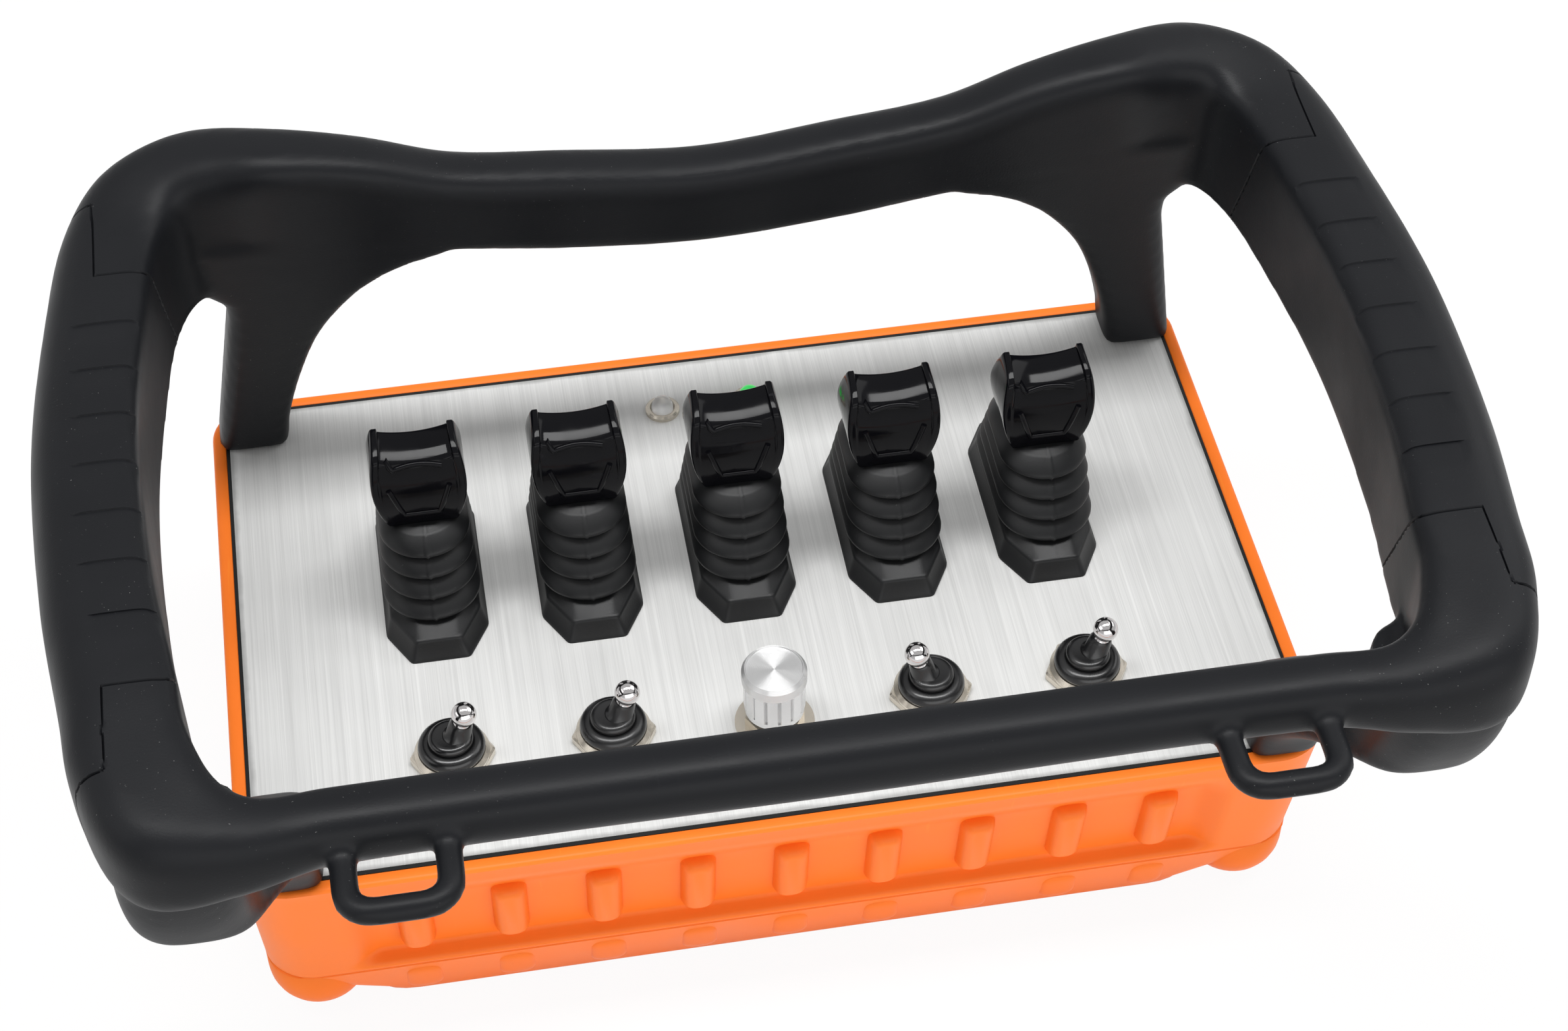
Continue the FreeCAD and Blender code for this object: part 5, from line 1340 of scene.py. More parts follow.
@dataclass
class Housing:
    """The orange upper shell and tray with their ribs and corner bumpers."""

    parting: float = 16.5
    half_width: float = 124.25
    half_depth: float = 78.5
    parting_half_width: float = 123.0
    parting_half_depth: float = 70.0
    corner: float = 12.0
    recess: float = 4.0
    recess_low: float = 18.6
    recess_high: float = 50.5
    recess_half: float = 99.5
    recess_soft: float = 4.0
    recess_low_edge: Point = (-1.0, 2.0)
    recess_high_edge: Point = (5.0, -7.0)
    rim_round: float = 1.2
    opening_x: float = 120.9
    opening_y: float = 75.1
    opening_corner: float = 6.0
    rebate: float = 2.2
    gasket_lip: float = 1.0
    rib_count: int = 9
    rib_pitch: float = 21.75
    rib_width: float = 8.0
    rib_low: float = 21.8
    rib_top: float = 45.2
    rib_inset: float = 0.6
    rib_round: float = 3.2
    tray_half_width: float = 102.0
    tray_half_depth: float = 66.0
    tray_corner: float = 13.0
    tray_round: float = 2.0
    tray_rib_low: float = 3.4
    tray_rib_high: float = 14.2
    tray_rib_proud: float = 0.7
    floor_lift: float = 0.3
    bumper_round: float = 10.0
    cover_half_width: float = 62.0
    cover_half_depth: float = 35.0
    cover_depth: float = 2.6
    screw_x: float = 50.0
    screw_y: float = 57.5
    screw_bore: float = 6.2
    screw_depth: float = 3.6
    well_below: float = -5.0
    rib_crown: tuple[Point, ...] = ((-0.5, -0.6), (0.0, 0.2), (0.35, 0.5), (0.9, 0.76), (1.6, 0.92),
                                    (2.5, 1.0))
    front_spots: tuple[float, ...] = (0.0, 20.0, 40.0, 60.0, 80.0, 90.0, 94.0, 95.5, 96.5, 97.5, 98.5, 99.5,
                                      100.5, 101.5, 102.5, 103.5, 105.0, 107.0)
    side_spots: tuple[float, ...] = (50.0, 30.0, 0.0)

    def half_sides(self, z: float) -> tuple[float, float]:
        """Return the half width and the half depth of the drafted shell at a height.

        Args:
            z: height.

        Returns:
            Half width and half depth.
        """
        share = (z - self.parting) / (PANEL_TOP - self.parting)
        return (mix(self.parting_half_width, self.half_width, share),
                mix(self.parting_half_depth, self.half_depth, share))

    def face(self, z: float) -> float:
        """Return how far the slanted front face stands out at a height."""
        return self.half_sides(z)[1]

    def sunk_face(self, z: float) -> float:
        """Return how far the bottom of the front recess stands out at a height."""
        return self.face(z) - self.recess

    def front(self, x: float, z: float) -> float:
        """Return how far the front with its recess stands out at a place.

        Args:
            x: place across.
            z: height.

        Returns:
            The distance from the middle.
        """
        sunk = ease(abs(x), self.recess_half + self.recess_soft, self.recess_half - self.recess_soft)
        sunk *= ease(z, *[self.recess_low + edge for edge in self.recess_low_edge])
        sunk *= ease(z, *[self.recess_high + edge for edge in self.recess_high_edge])
        return self.face(z) - self.recess * sunk

    def corner_arc(self, wide: float, deep: float, radius: float) -> list[Point]:
        """Return the rounded corner of a rectangle's rear right quarter and its side points."""
        arc = arc_points((wide - radius, deep - radius), radius, 90.0, 0.0, 12)
        return arc + [(wide, y) for y in self.side_spots]

    def outline(self, z: float) -> Ring:
        """Return the upper shell's outline at a height."""
        quarter = [(x, self.front(x, z)) for x in self.front_spots]
        return self.mirrored(quarter + self.corner_arc(*self.half_sides(z), self.corner), z)

    def opening(self, growth: float, z: float) -> Ring:
        """Return the rim of the panel opening, with points that match the outline's.

        Args:
            growth: how far the rim is moved outwards.
            z: height.

        Returns:
            The rim.
        """
        wide, deep = self.opening_x + growth, self.opening_y + growth
        quarter = [(x, deep) for x in self.front_spots]
        return self.mirrored(quarter + self.corner_arc(wide, deep, self.opening_corner), z)

    @staticmethod
    def mirrored(quarter: Sequence[Point], z: float) -> Ring:
        """Return a closed ring from the points of its rear right quarter.

        Args:
            quarter: points of the quarter.
            z: height.

        Returns:
            The ring.
        """
        half = list(quarter) + [(x, -y) for x, y in quarter[-2::-1]]
        whole = half + [(-x, y) for x, y in half[-2:0:-1]]
        return [Vector((x, y, z)) for x, y in whole]

    def upper_shell(self) -> Shape:
        """Return the upper shell from the parting line up to the panel's rebate.

        Returns:
            The shell.
        """
        low, high = self.recess_low, self.recess_high
        heights = [self.parting + 0.3, low - 1.4, *(low - 1.0 + 0.5 * step for step in range(7)), low + 2.6]
        heights += [26.0, 33.0, 40.0, *(high - 7.0 + 1.4 * step for step in range(9)), high + 5.2]
        heights.append(PANEL_TOP - self.rim_round)
        rings = [self.shrunk(self.outline(self.parting), inset) for inset in (4.0, 0.4)]
        rings += [self.outline(z) for z in heights]
        for inset, drop in rounding(self.rim_round, 4)[1:]:
            ring = self.shrunk(self.outline(PANEL_TOP), inset)
            rings.append([Vector((point.x, point.y, PANEL_TOP - drop)) for point in ring])
        rings.append(self.opening(0.25, PANEL_TOP))
        rings.append(self.opening(0.0, PANEL_TOP - 0.25))
        rings.append(self.opening(0.0, PANEL_TOP - self.rebate))
        rings.append(self.opening(-3.0, PANEL_TOP - self.rebate))
        return Shape().loft(rings)

    @staticmethod
    def shrunk(ring: Ring, inset: float) -> Ring:
        """Return a ring drawn in towards the middle on all sides.

        Args:
            ring: ring to draw in.
            inset: how far it is drawn in.

        Returns:
            The smaller ring.
        """
        def inwards(value: float) -> float:
            """Return one coordinate drawn in towards zero."""
            return value - math.copysign(min(inset, abs(value)), value)

        return [Vector((inwards(point.x), inwards(point.y), point.z)) for point in ring]

    def rib(self, low: float, high: float, face: Callable[[float], float], proud: float) -> Shape:
        """Return one upright rib, rounded all round, on a slanted face.

        Args:
            low: lower end.
            high: upper end.
            face: how far the face stands out at a height.
            proud: height of the rib over that face.

        Returns:
            The rib at the left end of its row, on the front side.
        """
        rings = []
        for inset, share in self.rib_crown:
            wide = self.rib_width / 2 - inset
            corners = rectangle(-wide, wide, low + inset, high - inset)
            points = rounded_polygon(corners, [max(self.rib_round - 0.7 * inset, 0.4)] * 4, 5, 4)
            rings.append([Vector((x, -face(z) - share * proud, z)) for x, z in points])
        return Shape().loft(rings).move(-self.rib_pitch * (self.rib_count - 1) / 2, 0.0, 0.0)

    def rib_rows(self, name: str, low: float, high: float, face: Callable[[float], float],
                 proud: float) -> list[Thing]:
        """Return the front and the rear row of ribs.

        Args:
            name: first part of the rows' names.
            low: lower end of the ribs.
            high: upper end of the ribs.
            face: how far the face stands out at a height.
            proud: height of the ribs over that face.

        Returns:
            The two rows.
        """
        rows = []
        for turn, label in ((0.0, "front"), (180.0, "rear")):
            shape = self.rib(low, high, face, proud)
            if turn:
                shape.tilt(turn, "Z").move(-self.rib_pitch * (self.rib_count - 1), 0.0, 0.0)
            thing = add_object(f"{name}_{label}", shape.mesh(name))
            rows.append(repeat_in_row(thing, self.rib_count, (self.rib_pitch, 0.0, 0.0), HOUSING_ORANGE))
        return rows

    def tray_face(self, z: float) -> float:
        """Return how far the tray's front face stands out at a height."""
        return mix(self.tray_half_depth, self.parting_half_depth, z / self.parting)

    def tray_ring(self, share: float, inset: float, z: float) -> Ring:
        """Return the tray's outline at a share of its height, drawn in by an inset.

        Args:
            share: share of the tray's height.
            inset: how far it is drawn in.
            z: height.

        Returns:
            The ring.
        """
        wide = mix(self.tray_half_width, self.parting_half_width, share) - inset
        deep = mix(self.tray_half_depth, self.parting_half_depth, share) - inset
        corners = rectangle(-wide, wide, -deep, deep)
        return level_ring(rounded_polygon(corners, [self.tray_corner] * 4, 8), 0.0, 0.0, z)

    def tray(self) -> Shape:
        """Return the tray with its recessed floor.

        Returns:
            The tray.
        """
        rings = [self.tray_ring(0.0, 9.0, self.floor_lift), self.tray_ring(0.0, 8.0, 0.0)]
        for inset, rise in rounding(self.tray_round, 4)[::-1]:
            rings.append(self.tray_ring(0.0, inset, rise))
        rings += [self.tray_ring(0.5, 0.0, 0.5 * self.parting), self.tray_ring(1.0, 0.0, self.parting - 0.4),
                  self.tray_ring(1.0, 0.4, self.parting), self.tray_ring(1.0, 6.0, self.parting)]
        return Shape().loft(rings)

    def bumper(self) -> Shape:
        """Return one corner bumper with a rounded underside about the origin.

        Returns:
            The bumper.
        """
        outline = [(0.0, 0.0)]
        outline += [(self.corner - inset, rise) for inset, rise in rounding(self.bumper_round, 8)[::-1]]
        outline += [(self.corner, self.parting - 0.4), (self.corner - 0.4, self.parting)]
        return Shape().lathe(outline)

    def gasket(self) -> Shape:
        """Return the dark gasket, whose lip fills the gap between the panel and the rim.

        Returns:
            The gasket.
        """
        low, top, lip = PANEL_TOP - self.rebate + 0.2, PANEL_TOP - 0.1, self.gasket_lip
        return Shape().loft([self.opening(-4.0, low), self.opening(-0.05, low), self.opening(-0.05, top),
                             self.opening(0.05 - lip, top), self.opening(0.05 - lip, low + 0.3),
                             self.opening(-4.0, low + 0.3)], closed=True)

    def sink(self, thing: Thing, points: Sequence[Point], x: float, y: float, depth: float) -> None:
        """Sink a well with a given outline into the underside of an object.

        Args:
            thing: object to cut.
            points: the well's outline.
            x: its middle across.
            y: its middle in depth.
            depth: height of its floor.
        """
        tool = Shape().loft([level_ring(points, x, y, z) for z in (self.well_below, depth)])
        cutter = add_object("cutter", tool.mesh("cutter"))
        cut = thing.modifiers.new("well", "BOOLEAN")
        cut.operation = "DIFFERENCE"
        cut.solver = "EXACT"
        cut.object = cutter
        baked(thing)
        bpy.data.objects.remove(cutter)

    def build(self) -> None:
        """Build both shells with their ribs."""
        add_shape("upper_shell", self.upper_shell(), HOUSING_ORANGE, ["upper_housing"], crease=50.0)
        add_shape("gasket_lip", self.gasket(), BOOT_BLACK, ["panel_gasket"], crease=40.0)
        proud = self.recess - self.rib_inset
        for row in self.rib_rows("upper_ribs", self.rib_low, self.rib_top, self.sunk_face, proud):
            add_piece(row, HOUSING_ORANGE, ["upper_housing"], crease=50.0)
        tray = add_object("tray_shell", self.tray().mesh("tray_shell"))
        wide, deep = self.cover_half_width, self.cover_half_depth
        self.sink(tray, rectangle(-wide, wide, -deep, deep), 0.0, 0.0, self.cover_depth)
        bore = circle(self.screw_bore / 2, 32)
        for x in (-self.screw_x, self.screw_x):
            for y in (-self.screw_y, self.screw_y):
                self.sink(tray, bore, x, y, self.screw_depth)
        add_piece(tray, HOUSING_ORANGE, ["lower_housing"], crease=40.0)
        for row in self.rib_rows("tray_ribs", self.tray_rib_low, self.tray_rib_high, self.tray_face,
                                 self.tray_rib_proud):
            add_piece(row, HOUSING_ORANGE, ["lower_housing"], crease=50.0)
        bumpers = add_object("corner_bumpers", self.bumper().mesh("corner_bumpers"))
        repeat_at_corners(bumpers, self.parting_half_width - self.corner,
                          self.parting_half_depth - self.corner, HOUSING_ORANGE)
        add_piece(bumpers, HOUSING_ORANGE, ["lower_housing"], crease=50.0)


# Paddle levers


@dataclass
class PaddleLever:
    """One paddle lever: gloss knob over a rubber bellows on an octagonal foot."""

    number: int
    pitch: float = 36.96
    row: float = 11.3
    count: int = 5
    foot_half_width: float = 11.6
    foot_half_length: float = 27.0
    foot_chamfer_x: float = 5.2
    foot_chamfer_y: float = 9.3
    foot_height: float = 5.8
    foot_draft: float = 1.1
    foot_edge: float = 0.9
    foot_corner: float = 0.9
    lip: float = 0.5
    bellows_low: float = 7.8
    pleats: int = 4
    pleat: float = 4.9
    pleat_depth: float = 2.6
    lip_share: float = 0.32
    half_length_low: float = 23.0
    half_length_high: float = 14.6
    half_width_low: float = 11.7
    half_width_high: float = 10.4
    mould_line: float = 0.4
    neck_radius: float = 7.0
    boot_top: float = 28.4
    knob_low: float = 27.2
    knob_high: float = 51.0
    knob_waist: float = 40.5
    knob_half: float = 11.0
    ridge_share: float = 0.83
    bead_radius: float = 0.7

    @property
    def x(self) -> float:
        """Return the lever's place along the row."""
        return (self.number - (self.count + 1) / 2) * self.pitch

    def octagon(self, inset: float, z: float) -> Ring:
        """Return the foot's octagon drawn in by an inset.

        Args:
            inset: how far it is drawn in.
            z: height over the panel.

        Returns:
            The ring.
        """
        wide, long = self.foot_half_width - inset, self.foot_half_length - inset
        in_x, in_y = wide - self.foot_chamfer_x, long - self.foot_chamfer_y
        corners = [(in_x, -long), (wide, -in_y), (wide, in_y), (in_x, long),
                   (-in_x, long), (-wide, in_y), (-wide, -in_y), (-in_x, -long)]
        return level_ring(rounded_polygon(corners, [self.foot_corner] * 8, 3, 16), self.x, self.row,
                          PANEL_TOP + z)

    def oval(self, half_width: float, half_length: float, z: float) -> Ring:
        """Return an oval ring whose points match the octagon's.

        Args:
            half_width: half its width.
            half_length: half its length.
            z: height over the panel.

        Returns:
            The ring.
        """
        ring = []
        spine = self.foot_half_length - self.foot_half_width
        for point in self.octagon(0.0, z):
            x, y = point.x - self.x, point.y - self.row
            stem = max(-spine, min(spine, y))
            out = Vector((x, y - stem)).normalized()
            seam = self.mould_line if abs(x) < 0.2 and half_width > self.neck_radius else 0.0
            y = stem / spine * (half_length - half_width) + out.y * (half_width + seam)
            ring.append(Vector((self.x + out.x * half_width, self.row + y, point.z)))
        return ring

    def boot(self) -> Shape:
        """Return the boot from its lip on the panel up to its neck.

        Returns:
            The boot.
        """
        draft, height = self.foot_draft * 0.8, self.foot_height
        rings = [self.octagon(-self.lip, 0.0), self.octagon(-self.lip, 0.6), self.octagon(-0.2, 0.9)]
        rings += [self.octagon(draft + inset, height - drop) for inset, drop in rounding(self.foot_edge, 3)]
        steps = 12
        for level in range(self.pleats * steps + 1):
            share = level / (self.pleats * steps)
            turn = level % steps / steps
            rise = min(turn / self.lip_share, 1.0)
            fall = max(turn - self.lip_share, 0.0) / (1 - self.lip_share)
            swell = self.pleat_depth * math.sqrt(1 - (1 - rise) ** 2) * (1 - fall ** 1.6)
            wide = mix(self.half_width_low, self.half_width_high, share) - self.pleat_depth + swell
            long = mix(self.half_length_low, self.half_length_high, share) - self.pleat_depth + swell
            z = self.bellows_low + self.pleat * level / steps
            rings.append(self.oval(wide, long, z))
        rings.append(self.oval(self.neck_radius, self.neck_radius + 1.0, self.boot_top - 0.6))
        rings.append(self.oval(self.neck_radius, self.neck_radius, self.boot_top))
        return Shape().loft(rings)

    def knob_width(self, z: float) -> float:
        """Return the knob's half width at a height over the panel.

        Args:
            z: height over the panel.

        Returns:
            The half width.
        """
        if z < self.knob_waist:
            return self.knob_half - 3.0 * ((self.knob_waist - z) / (self.knob_waist - self.knob_low)) ** 2
        return self.knob_half - 1.4 * ((z - self.knob_waist) / (self.knob_high - self.knob_waist)) ** 2

    def knob_profile(self, share: float) -> list[Point]:
        """Return the knob's side view at a share of its half width.

        Args:
            share: 0 at the middle, 1 at the cheek.

        Returns:
            Points of y from the lever's row and z over the panel, from the front bottom upwards.
        """
        low, high = self.knob_low, self.knob_high
        ridge = ease(share, self.ridge_share - 0.035, self.ridge_share + 0.015)
        sag = 1.3 * (1 - min(share / self.ridge_share, 1.0) ** 2)
        back = mix(0.5, 0.0, ridge)
        corners = [(-8.6, low), (-9.9, low + 6.5), (-9.6 + 0.5 * back, high - 8.0),
                   (-8.3 + back, mix(high - 3.4 - sag, high - 2.4, ridge)),
                   (-4.8 + back, mix(high - 1.5 - sag, high - 0.7, ridge)),
                   (0.4, mix(high - 0.9 - sag, high, ridge)), (3.8, high - 7.0), (6.6, high - 14.5),
                   (4.8, low)]
        rounds = [0.8, 5.0, 4.0, mix(1.0, 1.6, ridge), mix(3.4, 2.4, ridge), 0.5, 4.0, 4.0, 1.0]
        return rounded_polygon(corners, rounds, 5, 4)

    def knob(self) -> Shape:
        """Return the paddle knob: a scooped body between two raised cheeks.

        Returns:
            The knob.
        """
        cheek = [(1.0, 0.04), (1.0, 0.35), (1.0, 0.7), (1.0, 0.9), (0.992, 0.955), (0.975, 0.985),
                 (0.95, 1.0)]
        shares = (0.9, 0.86, 0.845, 0.835, 0.825, 0.815, 0.8, 0.77, 0.7, 0.58, 0.44, 0.3, 0.15)
        body = [(share, 1.0) for share in shares]
        right = cheek + body
        middle = (self.knob_low + self.knob_high) / 2
        rings = []
        for sign, rows in ((-1, right), (1, [(0.0, 1.0)] + right[::-1])):
            for share, scale in rows:
                ring = []
                for y, z in self.knob_profile(share):
                    height = mix(middle, z, scale)
                    ring.append(Vector((self.x + sign * share * self.knob_width(height),
                                        self.row + mix(-1.6, y, scale), PANEL_TOP + height)))
                rings.append(ring)
        return Shape().loft(rings)

    def front_place(self, x: float, z: float) -> Vector:
        """Return the point of the knob's front face at a place across and up.

        Args:
            x: place across the knob.
            z: height over the panel.

        Returns:
            The point.
        """
        points = self.knob_profile(abs(x) / self.knob_half)
        spots = [mix(first[0], second[0], (z - first[1]) / (second[1] - first[1]))
                 for first, second in zip(points, points[1:])
                 if first[1] != second[1] and min(first[1], second[1]) <= z <= max(first[1], second[1])]
        return Vector((self.x + x, self.row + min(spots), PANEL_TOP + z))

    def bead(self, path: Sequence[Point]) -> Shape:
        """Return a fine raised line along a path of x and z on the knob's front.

        Args:
            path: x and z of the line's points.

        Returns:
            The raised line.
        """
        rings = []
        for index, (x, z) in enumerate(path):
            before, after = path[max(index - 1, 0)], path[min(index + 1, len(path) - 1)]
            along = Vector((after[0] - before[0], 0.0, after[1] - before[1])).normalized()
            across = Vector((along.z, 0.0, -along.x))
            centre = self.front_place(x, z)
            rings.append([centre + across * u + Vector((0.0, v, 0.0))
                          for u, v in circle(self.bead_radius, 10)])
        return Shape().loft(rings)

    def marks(self) -> Shape:
        """Return the raised lines on the knob's front: a brow and an open trapezium.

        Returns:
            Both lines.
        """
        high, low = self.knob_high, self.knob_low
        brow = [(5.6 * (step / 8 - 1), high - 5.6 + 0.8 * (1 - (step / 8 - 1) ** 2)) for step in range(17)]
        brow = [(-7.0, high - 3.4), (-6.2, high - 4.8)] + brow
        side = [(7.0, low + 13.0), (6.3, low + 10.9), (5.6, low + 8.8), (4.9, low + 6.7), (4.2, low + 4.6),
                (3.9, low + 4.4)]
        sides = [(-x, z) for x, z in side] + side[::-1]
        return self.bead(brow).add(self.bead(sides))

    def build(self) -> None:
        """Build the boot and the knob."""
        lever = f"lever_{self.number}"
        boot = add_shape(f"bellows_{self.number}", self.boot(), BOOT_BLACK, [f"lever_boot_{self.number}"],
                         body=None, crease=60.0)
        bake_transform(boot)
        add_shape(f"paddle_{self.number}", self.knob().add(self.marks()), KNOB_BLACK,
                  [f"lever_knob_{self.number}"], body=lever, crease=40.0)


# Toggle switches


@dataclass
class ToggleSwitch:
    """One sealed toggle: nickel nut, rubber half boot and chromed ball lever."""

    number: int
    place: int
    lean: float
    pitch: float = 36.96
    row: float = -46.0
    pivot: float = 1.5
    hex_across: float = 17.0
    hex_height: float = 2.4
    collar_radius: float = 8.6
    collar_top: float = 3.9
    boot_radius: float = 7.7
    neck_radius: float = 3.4
    ball_radius: float = 2.9
    reach: float = 14.0
    rod_radius: float = 1.6
    seat_depth: float = 0.8
    stretch: float = 3.0

    @property
    def x(self) -> float:
        """Return the toggle's place along the row."""
        return self.place * self.pitch

    def nut(self) -> Shape:
        """Return the hexagon with its bevelled round collar.

        Returns:
            The nut.
        """
        radius = self.hex_across / math.sqrt(3)
        flat = self.hex_across / 2
        hexagon = circle(radius, 6)
        rings = []
        for scale, z in ((0.97, 0.0), (1.0, 0.35), (1.0, self.hex_height - 0.5), (0.95, self.hex_height)):
            points = rounded_polygon([(x * scale, y * scale) for x, y in hexagon], [0.5] * 6, 2, 6)
            rings.append(level_ring(points, 0.0, 0.0, z))
        shape = Shape().loft(rings)
        top, outer = self.collar_top, self.collar_radius
        seat = top - self.seat_depth
        collar = [(0.0, 1.0), (flat - 0.3, 1.0), (outer, self.hex_height), (outer, top - 1.0),
                  (outer - 0.9, top), (self.boot_radius + 0.1, top), (self.boot_radius - 0.2, seat),
                  (0.0, seat)]
        return shape.add(Shape().lathe(collar, 64)).move(self.x, self.row, PANEL_TOP)

    def boot(self) -> Shape:
        """Return the half boot: two rolled rings and a leaning neck.

        Returns:
            The half boot.
        """
        seat, outer = self.collar_top - self.seat_depth, self.boot_radius
        rolls = [(0.0, seat)]
        rolls += arc_points((outer - 2.0, seat + 1.6), 2.0, -60.0, 105.0, 11)
        rolls += arc_points((outer - 3.8, seat + 4.1), 1.3, -30.0, 105.0, 9)
        rolls.append((0.0, seat + 5.2))
        base = Shape().lathe(rolls, 56).move(0.0, 0.0, -self.pivot)
        start, wide = seat - self.pivot + 2.2, self.neck_radius
        top = self.reach - self.ball_radius + 0.2
        neck = [(0.0, start), (wide + 0.9, start), (wide + 0.2, start + 1.2), (wide - 0.1, start + 2.0),
                (wide + 0.15, start + 2.4), (wide, start + 2.9), (wide - 0.5, start + 3.3),
                (wide - 0.7, top - 0.8), (wide - 1.1, top), (0.0, top)]
        base.add(Shape().lathe(neck, 40).tilt(self.lean, "Y"))
        return base.move(self.x, self.row, PANEL_TOP + self.pivot)

    def stick(self) -> Shape:
        """Return the lever with its skirt and ball tip.

        Returns:
            The lever.
        """
        low = self.reach - self.ball_radius
        outline = [(0.0, 2.0), (self.rod_radius, 2.0), (self.rod_radius, low - 1.6), (2.2, low - 1.2),
                   (2.35, low - 0.4), (2.0, low + 0.2)]
        outline += arc_points((0.0, self.reach), self.ball_radius, -50.0, 90.0, 14)
        shape = Shape().lathe(outline, 40).tilt(self.lean, "Y")
        return shape.move(self.x, self.row, PANEL_TOP + self.pivot)

    def build(self) -> None:
        """Build the boot and the lever; the nuts of all toggles are one piece."""
        toggle = f"toggle_{self.number}"
        boot = add_shape(f"half_boot_{self.number}", self.boot(), HALF_BOOT,
                         [f"toggle_boot_{self.number}"], body=None, crease=50.0)
        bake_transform(boot)
        add_shape(f"ball_lever_{self.number}", self.stick(), BALL_CHROME,
                  [f"toggle_lever_{self.number}"], body=toggle, crease=50.0)


@dataclass
class ToggleRow:
    """The four toggles with their nuts."""

    places: tuple[int, ...] = (-2, -1, 1, 2)
    leans: tuple[float, ...] = (15.0, 15.0, -15.0, 15.0)

    def build(self) -> None:
        """Build each toggle and the one piece that holds the nuts."""
        nuts = Shape()
        for number, (place, lean) in enumerate(zip(self.places, self.leans), 1):
            toggle = ToggleSwitch(number, place, lean)
            nuts.add(toggle.nut())
            toggle.build()
        add_shape("boot_nuts", nuts, WARM_NICKEL, ["toggle_nuts"], crease=25.0)


# Rotary knob and lamps


@dataclass
class RotaryDial:
    """The rotary knob: faceted barrel, bright rim, spun disc, nut and washer."""

    row: float = -48.0
    low: float = 5.4
    skirt: float = 1.8
    skirt_radius: float = 6.9
    barrel: float = 8.4
    barrel_radius: float = 7.1
    facets: int = 14
    facet_share: float = 0.72
    groove: float = 0.6
    cap: float = 3.6
    cap_radius: float = 7.5
    disc_radius: float = 6.6

    def facet(self) -> Shape:
        """Return one flat facet of the barrel with the groove at its edge.

        Returns:
            The facet.
        """
        half = math.pi / self.facets
        flat = self.facet_share * half
        outer, inner = self.barrel_radius, self.barrel_radius - self.groove
        edge = [(radius * math.cos(angle), radius * math.sin(angle))
                for radius, angle in ((inner, half), (outer, flat))]
        points = [(0.0, 0.0), *((x, -y) for x, y in edge), *edge[::-1]]
        low, high = self.low + self.skirt, self.low + self.skirt + self.barrel
        return Shape().loft([level_ring(points, 0, 0, low), level_ring(points, 0, 0, high)])

    def build(self) -> None:
        """Build the knob and dress the fixings under it."""
        barrel = add_object("dial_barrel", self.facet().mesh("dial_barrel"))
        repeat_in_circle(barrel, self.facets, KNOB_BARREL)
        barrel.data.transform(Matrix.Translation((0.0, self.row * METRES, PANEL_TOP * METRES)))
        add_piece(barrel, KNOB_BARREL, ["rotary_knob"], body="dial", crease=12.0)
        edge = self.low + self.skirt
        wide = self.skirt_radius
        foot = [(0.0, self.low), (wide - 0.3, self.low), (wide, self.low + 0.3), (wide, edge), (0.0, edge)]
        skirt = Shape().lathe(foot, 64).move(0.0, self.row, PANEL_TOP)
        add_shape("dial_skirt", skirt, KNOB_BARREL, ["rotary_knob"], body="dial")
        low, top = edge + self.barrel, edge + self.barrel + self.cap
        wide, disc = self.cap_radius, self.disc_radius
        rim = [(0.0, low), (wide - 0.2, low), (wide, low + 0.2), (wide, top - 0.9), (wide - 0.7, top),
               (disc, top), (disc - 0.15, top - 0.3), (0.0, top - 0.3)]
        cap = Shape().lathe(rim, 96).move(0.0, self.row, PANEL_TOP)
        add_shape("dial_cap", cap, KNOB_DISC, ["knob_cap"], body="dial", crease=20.0)
        dress_solid(["pot_nut", "pot_washer"], WARM_NICKEL)
        dress_solid(["pot_shaft"], PLATED_STEEL)


@dataclass
class SignalLamps:
    """The clear and the green signal lamp in their bezels."""

    spread: float = 11.2
    row: float = 57.4
    flange_radius: float = 4.3
    lens_radius: float = 2.8
    flange: float = 1.4
    lens_top: float = 4.4

    def bezel(self, side: Side) -> Shape:
        """Return one bezel, a bevelled ring with a dished seat.

        Args:
            side: which side it is on.

        Returns:
            The bezel.
        """
        wide, lens, top = self.flange_radius, self.lens_radius, self.flange
        outline = [(lens - 0.1, -1.5), (wide, -0.2), (wide, top - 0.5), (wide - 0.5, top),
                   (lens + 0.35, top), (lens, top - 0.4), (1.2, -1.2), (0.0, -1.2)]
        return Shape().lathe(outline, 56).move(side.value * self.spread, self.row, PANEL_TOP)

    def lens(self, side: Side) -> Shape:
        """Return one domed lens.

        Args:
            side: which side it is on.

        Returns:
            The lens.
        """
        outline = [(0.0, 0.0), (self.lens_radius, 0.0), (self.lens_radius, self.flange)]
        for step in range(1, 9):
            angle = math.radians(90 * step / 8)
            outline.append((self.lens_radius * math.cos(angle),
                            mix(self.flange, self.lens_top, math.sin(angle))))
        return Shape().lathe(outline, 48).move(side.value * self.spread, self.row, PANEL_TOP)

    def build(self) -> None:
        """Build the bezels and the lenses."""
        bezels = self.bezel(Side.LEFT).add(self.bezel(Side.RIGHT))
        add_shape("lamp_rings", bezels, WARM_NICKEL, ["lamp_bezels"], crease=30.0)
        for side, finish, node in ((Side.LEFT, LENS_CLEAR, "clear_lens"),
                                   (Side.RIGHT, LENS_GREEN, "green_lens")):
            add_shape(node + "_dome", self.lens(side), finish, [node], crease=60.0)


